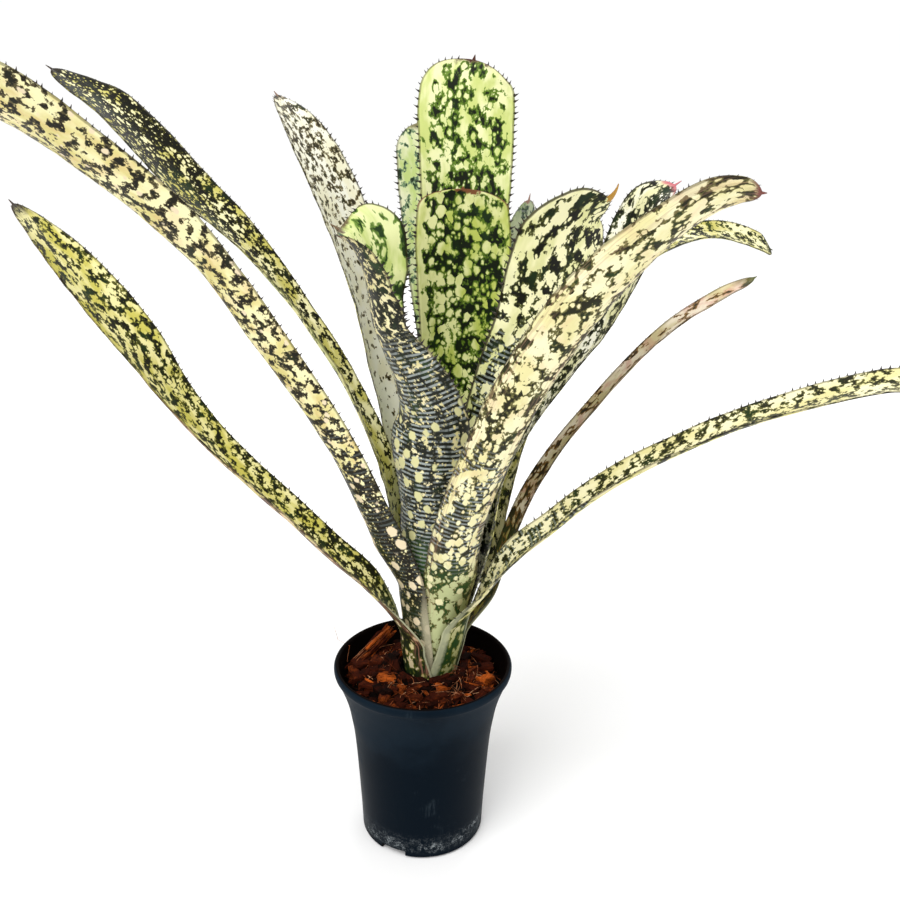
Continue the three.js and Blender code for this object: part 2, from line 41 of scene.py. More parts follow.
print("frame loaded, nodes:", len(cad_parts))


# Helpers for selecting
def deselectAll():
    if bpy.context.object and bpy.context.object.mode != "OBJECT":
        bpy.ops.object.mode_set(mode="OBJECT")
    bpy.ops.object.select_all(action="DESELECT")


def select(*pieces):     # these alone, with the last one active
    deselectAll()
    for piece in pieces:
        piece.select_set(True)
    bpy.context.view_layer.objects.active = pieces[-1]


# Helpers for materials
def tone(code):     # a colour as painted on screen, to the linear values that shaders use
    levels = [int(code[i:i + 2], 16) / 255 for i in (0, 2, 4)]
    return tuple(v / 12.92 if v <= 0.04045 else ((v + 0.055) / 1.055) ** 2.4 for v in levels) + (1,)


class Wire:     # a value in a shader tree; plain arithmetic on it puts in the math nodes
    def __init__(self, socket):
        self.socket = socket

    def __add__(self, other):
        return calc("ADD", self, other)

    def __sub__(self, other):
        return calc("SUBTRACT", self, other)

    def __rsub__(self, other):
        return calc("SUBTRACT", other, self)

    def __mul__(self, other):
        return calc("MULTIPLY", self, other)

    def __rtruediv__(self, other):
        return calc("DIVIDE", other, self)


def connect(socket, value):     # value: a wire, a colour code or a plain value
    if isinstance(value, Wire):
        socket.id_data.links.new(value.socket, socket)
    else:
        socket.default_value = tone(value) if isinstance(value, str) else value


def put(tree, kind, inputs=None, **settings):
    node = tree.nodes.new(kind)
    for key, value in settings.items():
        setattr(node, key, value)
    for key, value in (inputs or {}).items():
        if value is not None:
            connect(node.inputs[key], value)
    return node


def made(inputs, kind, output=0, **settings):     # one output of a node put beside its inputs
    tree = next(v.socket.id_data for v in inputs.values() if isinstance(v, Wire))
    return Wire(put(tree, kind, inputs, **settings).outputs[output])


def calc(operation, *values, clamp=False):
    return made(dict(enumerate(values)), "ShaderNodeMath", operation=operation, use_clamp=clamp)


def scaled(value, factor, offset):     # value * factor + offset in one node
    return calc("MULTIPLY_ADD", value, factor, offset)


def between(a, b, share):
    return a + share * (b - a)


def vectorCalc(operation, place, other=None, scale=None, output=0):
    return made({0: place, 1: other, "Scale": scale}, "ShaderNodeVectorMath", output,
                operation=operation)


def mixed(factor, a, b):
    return made({0: factor, 6: a, 7: b}, "ShaderNodeMix", 2, data_type="RGBA", clamp_factor=True)


def step(value, low, high, start=0.0, end=1.0):     # smooth change from start to end
    return made({0: value, 1: low, 2: high, 3: start, 4: end}, "ShaderNodeMapRange",
                interpolation_type="SMOOTHSTEP")


def fade(value, low, high):     # smooth change from 1 to 0
    return step(value, low, high, 1.0, 0.0)


def cloud(place, scale, detail=3.0, rough=0.55, warp=0.0):
    return made({"Vector": place, "Scale": scale, "Detail": detail, "Roughness": rough,
                 "Distortion": warp}, "ShaderNodeTexNoise")


def stretched(place, scale, shift=None):
    return made({"Vector": place, "Scale": scale, "Location": shift}, "ShaderNodeMapping")


def drawnOut(place, across, along, detail, scale=1.0):     # a cloud of another grain each way
    return cloud(stretched(place, (across, along, 1.0)), scale, detail)


def axes(place):
    parts = put(place.socket.id_data, "ShaderNodeSeparateXYZ", {0: place})
    return [Wire(socket) for socket in parts.outputs]


def objectPlace(tree):
    return Wire(put(tree, "ShaderNodeTexCoord").outputs["Object"])


def attribute(tree, name, output="Fac"):
    return Wire(put(tree, "ShaderNodeAttribute", attribute_name=name).outputs[output])


def newGroup(name, inputs, outputs):
    group = bpy.data.node_groups.new(name, "ShaderNodeTree")
    kinds = {float: "NodeSocketFloat", str: "NodeSocketColor", tuple: "NodeSocketVector"}
    for label, value in inputs.items():
        socket = group.interface.new_socket(label, in_out="INPUT", socket_type=kinds[type(value)])
        socket.default_value = tone(value) if isinstance(value, str) else value
    for label, kind in outputs.items():
        group.interface.new_socket(label, in_out="OUTPUT", socket_type=kinds[kind])
    into = group.nodes.new("NodeGroupInput").outputs
    return group, {label: Wire(into[label]) for label in inputs}


def newMaterial(name, rough, specular=0.5):
    material = bpy.data.materials.new(name)
    material.use_nodes = True
    skin = material.node_tree.nodes["Principled BSDF"].inputs
    skin["Roughness"].default_value = rough
    skin["Specular IOR Level"].default_value = specular
    return material, material.node_tree, skin


def relief(skin, height, strength, depth):
    connect(skin["Normal"], made({"Height": height, "Strength": strength, "Distance": depth},
                                 "ShaderNodeBump"))


# Camera, lamps and sky
viewSettings = {
    "place": (0.0150, -0.5268, 0.4434), "tiltDown": 19.48, "roll": 0.76,
    "lens": 38.96, "sensor": 36.0, "nearest": 0.01, "plantMiddle": (0.02, 0, 0.24),
    "skyColour": (1.0, 1.0, 1.0), "skyStrength": 1.02, "skyLight": 0.6,
    "floorColour": "f7f7f7", "floorRough": 0.8, "floorSize": 8, "floorDrop": 0.0002,
}
lampSettings = [     # kind, name, place, size (or angle in degrees), power
    ("SUN", "softKey", (-0.8, -1.2, 2.1), 45, 2.3),
    ("AREA", "softFill", (1.4, -0.9, 1.0), 1.4, 7),
    ("AREA", "softBack", (0.3, 1.5, 1.6), 1.2, 9),
]


def addCamera():
    tilt = Matrix.Rotation(math.radians(90 - viewSettings["tiltDown"]), 4, "X")
    roll = Matrix.Rotation(math.radians(viewSettings["roll"]), 4, "Z")
    deselectAll()
    bpy.ops.object.camera_add()
    camera = bpy.context.object
    camera.matrix_world = Matrix.Translation(viewSettings["place"]) @ tilt @ roll
    camera.data.lens = viewSettings["lens"]
    camera.data.sensor_width = viewSettings["sensor"]
    camera.data.clip_start = viewSettings["nearest"]
    bpy.context.scene.camera = camera


def addLamp(kind, name, place, size, power):     # looks at the plant's middle
    bpy.ops.object.light_add(type=kind, location=place)
    lamp = bpy.context.object
    lamp.name = name
    if kind == "SUN":
        lamp.data.angle = math.radians(size)
    else:
        lamp.data.size = size
    lamp.data.energy = power
    aim = Vector(viewSettings["plantMiddle"]) - Vector(place)
    lamp.rotation_euler = aim.to_track_quat("-Z", "Y").to_euler()


def addSky():     # brighter where the camera sees it than where it lights the plant
    world = bpy.data.worlds.new("paleRoom")
    world.use_nodes = True
    sky = world.node_tree.nodes["Background"].inputs
    sky["Color"].default_value = (*viewSettings["skyColour"], 1)
    seen = Wire(put(world.node_tree, "ShaderNodeLightPath").outputs["Is Camera Ray"])
    connect(sky["Strength"], step(seen, 0.0, 1.0, viewSettings["skyLight"], viewSettings["skyStrength"]))
    bpy.context.scene.world = world
    bpy.context.scene.view_settings.view_transform = "Standard"


addCamera()
for lampSetting in lampSettings:
    addLamp(*lampSetting)
addSky()

# Leaf markings, shared by every leaf. place is in centimetres: across, along, 0.
# In each function here, w holds the group's inputs by name.
marbleDefaults = {
    "ground": "f2ecb4", "groundTwo": "d8d084", "dark": "181808", "halo": "5f6424",
    "amountBase": 0.5, "amountMid": 0.55, "amountTip": 0.55, "footAmount": 0.42, "softness": 0.05,
    "haloWidth": 0.22, "spotAcross": 2.6, "spotAlong": 1.9, "patch": 0.6, "fine": 0.45, "round": 0.6,
    "clear": 0.0, "clearWidth": 8.0, "bands": 0.0, "bandColour": "a3aaa6", "bandStart": 3.0,
    "bandEnd": 20.0, "bandStep": 2.9, "spots": 0.0, "spotColour": "efe8ae", "spotEnd": 12.0,
    # The darker base and foot colours are partly the leaves' own and partly painted shade where the
    # leaves crowd together low down
    "baseColour": "b5b88c", "baseDark": "24401a", "baseEnd": 6.0,
    "marginColour": "b4b694", "marginDark": "231d10", "marginWidth": 1.3, "sheathMargin": 2.8,
    "darkMargin": 0.55, "streaks": 0.0, "streakColour": "a8846a",
    "tipColour": "5a3222", "tipLength": 6.0, "rim": 0.0, "tint": 0.0, "tintColour": "d99a80",
}
# The pattern's own numbers. A pair of them is a factor and an offset, or a change's start and end.
marbleShape = {
    "crumbScale": 2.6, "crumbRough": 0.6, "swirlScale": 1.6, "swirl": 0.45, "cloudScale": 1.25,
    "level": (-0.38, 0.69), "contrast": 3.4, "footFade": 3.0, "footRagged": 3.0,
    # Rounded pale spots: scale and size of the two kinds, how the radius varies, and how they fuse.
    "cells": ((1.0, 1.0), (1.6, 0.6)), "radius": (1.05, -0.42), "weight": 1.5, "fuse": 0.12,
    "dotStretch": (1.25, 0.95, 1.0), "dotWobble": (0.2, -0.1), "dotFade": 4.0, "dotLeast": 0.45,
    "turnPerCm": 62.83, "bandFadeIn": 2.5, "bandFadeOut": 3.0, "bandOnFoot": (-0.4, 1.0),
    "sheath": (6.0, 9.5), "marginRagged": (0.5, 0.75), "sheathEdge": 0.85, "greenPart": 0.45,
    "streakZone": (4.0, 9.0), "tipRagged": 14.0, "tipBack": 7.0, "rimRagged": 1.6, "rimZone": (7.0, 13.0),
    "veinHeight": 0.7, "bandHeight": 0.5,
}


def darkAmount(w, foot):     # how much is dark: at the foot, the base, the middle and the tip
    amount = between(w["amountBase"], w["amountMid"], step(w["share"], 0.0, 0.5))
    amount += step(w["share"], 0.5, 1.0) * (w["amountTip"] - w["amountMid"])
    amount = between(amount, w["footAmount"], foot)
    return amount - fade(w["margin"], 0.0, w["clearWidth"]) * w["clear"]


def darkClouds(w, spread, crumbs, amount):     # clouds over the level that amount sets, less the spots
    shape = marbleShape
    swirl = made({"Vector": spread, "Scale": shape["swirlScale"], "Detail": 2.0}, "ShaderNodeTexNoise", 1)
    swirl = vectorCalc("SCALE", vectorCalc("SUBTRACT", swirl, (0.5, 0.5, 0.5)), scale=shape["swirl"])
    warped = vectorCalc("ADD", spread, swirl)
    coarse = cloud(vectorCalc("SCALE", warped, scale=w["patch"]), shape["cloudScale"])
    above = (coarse - scaled(amount, *shape["level"])) * shape["contrast"]
    for scale, size in shape["cells"]:
        cells = put(spread.socket.id_data, "ShaderNodeTexVoronoi", {
            "Vector": warped, "Scale": scale, "Randomness": 0.9}, voronoi_dimensions="2D").outputs
        pick = made({0: Wire(cells["Color"])}, "ShaderNodeSeparateColor")
        away = Wire(cells["Distance"]) - scaled(pick, *shape["radius"]) * w["round"] * size
        above = calc("SMOOTH_MIN", above, away * shape["weight"], shape["fuse"])
    return coarse, above + (crumbs - 0.5) * w["fine"]


def paleDots(w, place, along):     # round pale spots on the dark, as on the outer faces low down
    shape = marbleShape
    spot = made({"Vector": stretched(place, shape["dotStretch"]), "Scale": 1.0, "Randomness": 0.85},
                "ShaderNodeTexVoronoi", "Distance")
    wobble = scaled(cloud(place, 5.0, 1.0), *shape["dotWobble"])
    size = w["spots"] * step(along, w["spotEnd"], w["spotEnd"] + shape["dotFade"], 1.0, shape["dotLeast"])
    return fade(spot + wobble - size, -0.04, 0.04) * step(w["spots"], 0.0, 0.02)


def silverBands(w, place, along, foot):     # silvery scale bands across the leaf, broken up by clouds
    shape = marbleShape
    ripple = scaled(drawnOut(place, 0.7, 0.4, 1.0), 3.4, along * (shape["turnPerCm"] / w["bandStep"]))
    ripple = scaled(drawnOut(place, 2.4, 1.3, 2.0), 2.0, ripple)
    stripe = step(calc("SINE", ripple), -0.1, 0.6)
    patchy = step(drawnOut(place, 2.0, 0.8, 3.0), 0.38, 0.55)
    zone = step(along, w["bandStart"], w["bandStart"] + shape["bandFadeIn"]) * fade(
        along, w["bandEnd"] - shape["bandFadeOut"], w["bandEnd"])
    silver = stripe * patchy * zone * scaled(foot, *shape["bandOnFoot"])
    return calc("MULTIPLY", silver, w["bands"], clamp=True)


def dryTip(w, crumbs, coarse):     # the withered tip, and the rim that runs back from it
    shape = marbleShape
    dry = fade(scaled(coarse, shape["tipRagged"], w["fromTip"] - shape["tipBack"]), 0.0, w["tipLength"])
    dry = calc("MAXIMUM", dry, fade(w["fromTip"], 0.0, 0.6))
    rim = fade(scaled(crumbs, shape["rimRagged"], w["margin"]), 0.8, 2.6) * fade(
        w["fromTip"], *shape["rimZone"])
    return dry, rim * w["rim"]


def buildMarbling():
    group, w = newGroup("leafMarbling", {
        "place": (0.0, 0.0, 0.0), "share": 0.5, "margin": 10.0, "fromTip": 100.0, **marbleDefaults,
    }, {"colour": str, "darkness": float, "height": float})
    shape, place, along = marbleShape, w["place"], axes(w["place"])[1]
    spread = stretched(place, made({0: w["spotAcross"], 1: w["spotAlong"], 2: 1.0},
                                   "ShaderNodeCombineXYZ"))
    crumbs = cloud(spread, shape["crumbScale"], 2.0, shape["crumbRough"])
    footEnd = w["baseEnd"] + shape["footFade"]
    foot = fade(scaled(crumbs, shape["footRagged"], along), w["baseEnd"], footEnd)
    coarse, above = darkClouds(w, spread, crumbs, darkAmount(w, foot))
    dark = step(above, w["softness"] * -1.0, w["softness"])
    deep = step(above, w["softness"], w["haloWidth"] + w["softness"])
    silver = silverBands(w, place, along, foot)
    # Colours, from the ground up.
    ground = mixed(step(drawnOut(place, 0.9, 0.4, 3.0), 0.4, 0.62), w["ground"], w["groundTwo"])
    blush = step(drawnOut(place, 1.1, 0.7, 3.0, scale=1.3), 0.45, 0.68)
    ground = mixed(blush * w["tint"], ground, w["tintColour"])
    ground = mixed(foot, ground, w["baseColour"])
    green = step(drawnOut(place, 0.8, 0.5, 2.0), 0.5, 0.7)
    paint = mixed(calc("MAXIMUM", foot, green * shape["greenPart"]), w["dark"], w["baseDark"])
    paint = mixed(silver, mixed(deep, w["halo"], paint), w["bandColour"])
    colour = mixed(dark, ground, paint)
    colour = mixed(paleDots(w, place, along), colour, w["spotColour"])
    streaks = step(drawnOut(place, 9.0, 0.45, 3.0), 0.46, 0.6) * fade(w["margin"], *shape["streakZone"])
    colour = mixed(streaks * w["streaks"], colour, w["streakColour"])
    sheath = fade(along, *shape["sheath"])
    reach = between(w["marginWidth"], w["sheathMargin"], sheath) * scaled(crumbs, *shape["marginRagged"])
    edge = fade(w["margin"], reach * 0.5, reach) * (
        sheath * shape["sheathEdge"] + (1.0 - sheath) * w["darkMargin"])
    colour = mixed(edge, colour, mixed(sheath, w["marginDark"], w["marginColour"]))
    for mask in dryTip(w, crumbs, coarse):
        colour = mixed(mask, colour, w["tipColour"])
    out = group.nodes.new("NodeGroupOutput").inputs
    connect(out["colour"], colour)
    connect(out["darkness"], dark * (1.0 - silver))
    veins = drawnOut(place, 22.0, 0.6, 2.0)
    connect(out["height"], veins * shape["veinHeight"] + silver * shape["bandHeight"])
    return group


marbling = buildMarbling()
leafSkin = {     # darker marks are smoother; each leaf and each face has its own piece of the pattern
    "rough": 0.52, "darkSmoother": -0.1, "specular": 0.16, "relief": 0.35, "reliefDepth": 0.0004,
    "shiftAcross": 3.7, "shiftUp": 5.3, "shiftUnder": 31.0,
}


def leafMaterial(name, seed, inner, outer=None):
    material, tree, skin = newMaterial(name, leafSkin["rough"], leafSkin["specular"])
    place = Wire(put(tree, "ShaderNodeUVMap", uv_map="leafMap").outputs[0])
    measures = dict(zip(("share", "margin", "fromTip"), axes(attribute(tree, "leafPlace", "Vector"))))
    under = attribute(tree, "leafUnder")
    faces = []
    for shift, values in ((0.0, inner), (leafSkin["shiftUnder"], outer or outerLooks)):
        moved = stretched(place, (1.0, 1.0, 1.0), (
            seed * leafSkin["shiftAcross"] + shift, 0.0, seed * leafSkin["shiftUp"]))
        node = put(tree, "ShaderNodeGroup", node_tree=marbling)
        for label, value in {"place": moved, **measures, **values}.items():
            connect(node.inputs[label], value)
        faces.append({socket.name: Wire(socket) for socket in node.outputs})
    connect(skin["Base Color"], mixed(under, faces[0]["colour"], faces[1]["colour"]))
    darkness, height = (faces[0][key] * (1.0 - under) + faces[1][key] * under
                        for key in ("darkness", "height"))
    connect(skin["Roughness"], scaled(darkness, leafSkin["darkSmoother"], leafSkin["rough"]))
    relief(skin, height, leafSkin["relief"], leafSkin["reliefDepth"])
    return material


# Leaves: the same form as the solids, with a finer surface and every spine
plantFoot = {"x": 4.5, "y": 5, "lean": 0.06, "leanFrom": 107}
ringHeights = (92, 107, 146, 185, 215, 245)
ringRadii = {
    "A": (15.1, 15.7, 22.2, 30, 36, 42), "B": (13.95, 14.45, 20.9, 28.3, 34, 40),
    "C": (12.8, 13.2, 19.5, 26.4, 32, 37.5), "D": (11.65, 12, 18.1, 24.5, 30, 35),
    "E": (10.5, 10.8, 16.7, 22.6, 27.9, 32.6), "F": (9.35, 9.6, 15.3, 20.7, 25.8, 30.2),
    "G": (8.2, 8.4, 13.9, 18.8, 23.7, 27.8),
}
sheathHeights = (92.3, 107, 125, 146, 165, 185, 215)
leafShape = {
    "sheathThick": 0.7, "bladeThick": 0.95, "sheathEnd": 8, "sheathSpacing": 4, "firstFollow": 0.6,
    "rowStep": 1.9, "tipRows": 20, "tipSweep": 1.53, "across": 24, "tipHalfWidth": 0.8,
    "mucroRows": 4, "mucroTaper": 0.85, "mucroThin": 0.5, "hookBend": 0.4,
    "marginThin": 0.6, "wave": 0.35, "waveAlong": 0.045, "waveAcross": 1.6, "waveFrom": 90,
    "waveTo": 150, "waveWide": 6, "edgeWave": 1.4, "edgeWaveAlong": 0.11,
    "flattest": 0.05, "curveSamples": 16,
}
spineShape = {
    "length": 3.3, "base": 2.6, "thick": 0.9, "sunk": 0.45, "sides": 6, "cuts": (0.35, 0.7),
    "hollow": 0.35, "hook": 0.42, "spacingBase": 5.0, "spacingTip": 2.4, "closerFrom": 0.35,
    "closerTo": 0.95, "spacingSpread": (0.82, 1.18), "start": 62, "tipGap": 0.4,
    "sizeSpread": (0.72, 1.12), "tipSize": 0.7, "seed": 900,
    "colour": "0d0a08", "colourTwo": "3a2a1c", "rough": 0.45,
}
leafTable = {
    "leaf_low_left": {
        "ring": "A", "angle": 214, "baseHalfWidth": 19.5, "leaves": 138, "tipLength": 34, "mucro": 3,
        "blade": [
            (-33.3, -11, 175.4, 14.5, -22, 50), (-53.8, -17, 198.3, 14.5, -20, 54),
            (-75.7, -22, 223.8, 15, -16, 54), (-97.6, -25, 247, 15.5, -14, 50),
            (-117.9, -27, 270.4, 16.5, -14, 44), (-135.5, -27, 294.5, 17.5, -18, 38),
            (-150.4, -26, 319.8, 18.5, -24, 32), (-166.8, -23, 342.2, 18, -26, 28),
            (-183.9, -21, 363.7, 17, -20, 22), (-199.5, -20, 382.9, 14.5, -10, 18),
            (-208.5, -20, 393.5, 13.5, -10, 16),
        ]},
    "leaf_front_left": {
        "ring": "C", "angle": 222, "baseHalfWidth": 15, "leaves": 172, "tipLength": 36, "mucro": 3,
        "blade": [
            (-19.8, -20, 201.6, 13.8, 24, 46), (-32, -25, 229.5, 15, 16, 52),
            (-44.7, -33, 261.7, 15.5, 12, 56), (-58.7, -44, 292.6, 15.5, 16, 56),
            (-78.8, -60, 331.8, 16, 18, 54), (-97.1, -74, 366.6, 17, 14, 50),
            (-113.2, -85, 390.3, 18, 22, 44), (-131.9, -95, 410.3, 19, 22, 38),
            (-146.9, -102, 424.2, 20, 22, 34), (-160.4, -110, 437.1, 20, 26, 28),
            (-176.5, -120, 448.9, 18.5, 32, 24), (-186.2, -129, 454.3, 16, 36, 20),
            (-195.3, -138, 459.5, 14, 36, 14),
        ]},
    "leaf_back_left": {
        "ring": "D", "angle": 168, "baseHalfWidth": 11, "leaves": 212, "tipLength": 34, "mucro": 4,
        "blade": [
            (-22.6, 8, 241.2, 10.6, -18, 26), (-33.9, 11.5, 268, 12.2, -2, 38),
            (-50.9, 17, 298.6, 13.8, 6, 46), (-72.6, 28, 328.3, 14.3, 8, 46),
            (-96.8, 35, 358.3, 14.9, -4, 42), (-114.4, 38, 377.2, 16.6, -12, 36),
            (-135.2, 40, 396.3, 19, -14, 30), (-156.5, 42, 420.5, 19, -14, 26),
            (-176.6, 44, 441, 17, -14, 22), (-188.4, 45, 448.5, 15, -12, 18),
            (-206.2, 46, 459.5, 13, -12, 12),
        ]},
    "leaf_tall_left": {
        "ring": "E", "angle": 122, "baseHalfWidth": 10, "leaves": 212, "tipLength": 28, "mucro": 3,
        "blade": [
            (-13.8, 35, 223.1, 11, 0, 54), (-20, 44, 259.8, 14.5, 0, 52),
            (-29.6, 51, 295.2, 18, 6, 48), (-40, 57, 330.6, 20.5, 18, 42),
            (-48.8, 63, 364.4, 22.5, 10, 34), (-57.7, 69, 392.8, 23.5, 6, 26),
            (-69.3, 75, 417.4, 21.5, 4, 22), (-80.7, 80, 437, 17, 4, 18),
            (-89.8, 84, 447.9, 14, 4, 12),
        ]},
    "leaf_banded_left": {
        "ring": "E", "angle": 250, "baseHalfWidth": 12, "leaves": 205, "tipLength": 15, "mucro": 5,
        "blade": [
            (1.6, -24, 223.6, 20, 0, 50), (-0.4, -30, 253.5, 23, 0, 52),
            (1, -35, 279.4, 25.5, -2, 56), (-7.2, -40, 301.8, 27.5, -8, 62),
            (-16.7, -43, 320.5, 28.5, -20, 70), (-24.1, -44, 339.3, 29.5, -38, 72),
            (-26.7, -45, 359.1, 31, -50, 70), (-29.9, -46, 375, 32, -52, 68),
            (-34.6, -47, 383.4, 32, -48, 66), (-39.9, -47, 386.3, 31, -48, 62),
        ]},
    "leaf_front_inner": {
        "ring": "G", "angle": 82, "baseHalfWidth": 9, "leaves": 205, "tipLength": 10, "mucro": 1.5,
        "blade": [
            (20.3, 28, 253.4, 20, 2, 56), (20.6, 30, 287.3, 23, 2, 50),
            (21.2, 33, 313.9, 26, 4, 44), (21.2, 35, 342.9, 28, 4, 36),
            (20.3, 36, 371.3, 28.5, 4, 28), (20.1, 37, 390, 26.5, 4, 22),
            (20.3, 37, 399.3, 26, 4, 18),
        ]},
    "leaf_tall_back": {
        "ring": "F", "angle": 98, "baseHalfWidth": 8.8, "leaves": 215, "tipLength": 18, "mucro": 3,
        "blade": [
            (19.6, 37, 275.9, 19, 0, 54), (20.6, 43, 311.5, 22, -2, 50),
            (21.4, 49, 352.2, 25, -2, 44), (22.5, 54, 386.2, 27, -4, 36),
            (22.1, 59, 419.4, 28, -4, 30), (21.8, 62, 441.1, 28.5, -4, 26),
            (23.1, 64, 457, 27, -4, 20), (25.6, 66, 467.8, 26, -4, 14),
        ]},
    "leaf_far_back": {
        "ring": "C", "angle": 108, "baseHalfWidth": 8, "leaves": 190, "tipLength": 16, "mucro": 2,
        "blade": [
            (15.5, 48, 240, 10, -4, 44), (12.1, 58, 276.2, 12.5, -6, 42),
            (7, 66, 318.6, 15.5, -10, 38), (2.5, 74, 360.1, 17, -16, 32),
            (-1.5, 82, 393.8, 17, -20, 26), (-4.3, 88, 419, 16, -20, 20),
            (-6.9, 92, 433.2, 15, -20, 16),
        ]},
    "leaf_inner_right": {
        "ring": "B", "angle": 60, "baseHalfWidth": 8, "leaves": 185, "tipLength": 20, "mucro": 4,
        "blade": [
            (35.7, 37, 250.4, 9, -4, 44), (41, 48, 285.4, 11.5, -10, 40),
            (47.7, 61, 319.7, 14, -18, 34), (53.2, 71, 348.7, 15, -26, 26),
            (57.6, 79, 371.9, 13, -30, 20), (61.1, 84, 389.7, 12, -30, 14),
        ]},
    "leaf_hooked_right": {
        "ring": "F", "angle": 335, "baseHalfWidth": 10.3, "leaves": 200, "tipLength": 26, "mucro": 8,
        "blade": [
            (36.4, -15, 252.3, 19, -14, 54), (43.7, -21, 283.3, 22, -30, 52),
            (53.8, -28, 312.7, 25, -30, 48), (63.9, -34, 340.8, 27, -28, 42),
            (68.2, -39.8, 364.4, 27.5, -24, 36), (72.3, -43.5, 383.1, 26, -24, 32),
            (78.9, -46.5, 395.4, 22, -16, 28), (89.4, -47.8, 402.2, 18, -16, 24),
        ]},
    "leaf_big_right": {
        "ring": "D", "angle": 299, "baseHalfWidth": 15, "leaves": 164, "tipLength": 20, "mucro": 2,
        "blade": [
            (16.9, -22.4, 181.8, 18, -7, 53), (21.6, -39.5, 224.6, 15.6, -10, 52),
            (31.9, -55.6, 263.5, 15, -18, 52), (42.9, -72.2, 299.3, 14.4, -26, 52),
            (56.1, -86.8, 330, 14.2, -28, 50), (70.5, -100.4, 357, 14.4, -28, 46),
            (88.4, -110.3, 379.7, 14.2, -22, 42), (104.6, -117.5, 396.2, 13, -16, 38),
            (118.3, -122.4, 407.3, 12, -16, 32), (129.6, -125.8, 412.1, 11.5, -12, 26),
            (137.4, -128, 412.2, 10.5, -12, 24),
        ]},
    "leaf_back_right": {
        "ring": "C", "angle": 12, "baseHalfWidth": 12, "leaves": 156, "tipLength": 24, "mucro": 4,
        "blade": [
            (39.8, 8.8, 197.7, 11.6, 12, 54), (43.8, 9, 235, 12, 22, 50),
            (56.8, 7.1, 271.3, 15.8, 32, 50), (76.8, 6.9, 302.4, 19, 26, 44),
            (97, 7.7, 331.8, 21, 24, 38), (110.7, 8.4, 361.5, 22, 24, 32),
            (117.3, 9.6, 383.7, 21, 22, 26), (122, 10, 397.4, 19, 20, 20),
            (133, 10, 404.9, 16, 20, 16),
        ]},
    "leaf_arching_back": {
        "ring": "A", "angle": 85, "baseHalfWidth": 9.5, "leaves": 150, "tipLength": 10, "mucro": 3,
        "blade": [
            (39.5, 27, 172.9, 10, 6, 50), (46, 34, 208.6, 10, 14, 52),
            (57.4, 46, 243.4, 11, -10, 52), (73.3, 64, 276.8, 12.5, -18, 50),
            (93.3, 84, 307.2, 13.5, -18, 46), (115.5, 102, 331.4, 14, -14, 42),
            (140.1, 118, 348.9, 14, -8, 38), (162.3, 131, 358.4, 13.5, -4, 36),
            (184.1, 144, 363, 13, 8, 34), (204.2, 156, 361.9, 12, 24, 30),
            (224.5, 168, 356.6, 10.8, 32, 26), (241.7, 178, 349.6, 9.4, 32, 18),
        ]},
    "leaf_dry_right": {
        "ring": "A", "angle": 12, "baseHalfWidth": 6.5, "leaves": 138, "tipLength": 20, "mucro": 2,
        "blade": [
            (41.6, 10, 161.6, 6.6, 18, 34), (49.3, 14, 188.4, 6.2, 22, 36),
            (63, 22, 221.2, 6.2, 18, 40), (81.3, 30, 248.7, 6.5, 6, 46),
            (102.6, 38, 273.7, 6.5, 2, 46), (125, 46, 298, 6.5, 2, 44),
            (149.6, 53, 320, 6.5, 6, 40), (176.9, 58, 337.6, 5.5, 16, 30),
            (196.8, 62, 347.7, 5, 16, 20),
        ]},
    "leaf_low_right": {
        "ring": "B", "angle": 318, "baseHalfWidth": 15, "leaves": 148, "tipLength": 34, "mucro": 3,
        "blade": [
            (37.6, -15, 173.8, 12.2, 24, 46), (54.6, -17.2, 200, 11.2, 36, 50),
            (74, -20.4, 218, 12, 24, 54), (90.5, -24, 234.4, 13.5, 14, 54),
            (114.3, -30, 254.8, 13, 14, 52), (138.4, -36, 271, 13, 10, 50),
            (162.3, -43, 286.2, 12.5, 10, 46), (186, -50, 298, 12.5, 12, 42),
            (209.2, -57, 308.7, 12, 16, 36), (232.4, -64, 316.7, 11.5, 18, 30),
            (252.1, -70, 318.3, 10.5, 22, 24), (272.3, -74, 316.5, 10, 22, 20),
        ]},
}

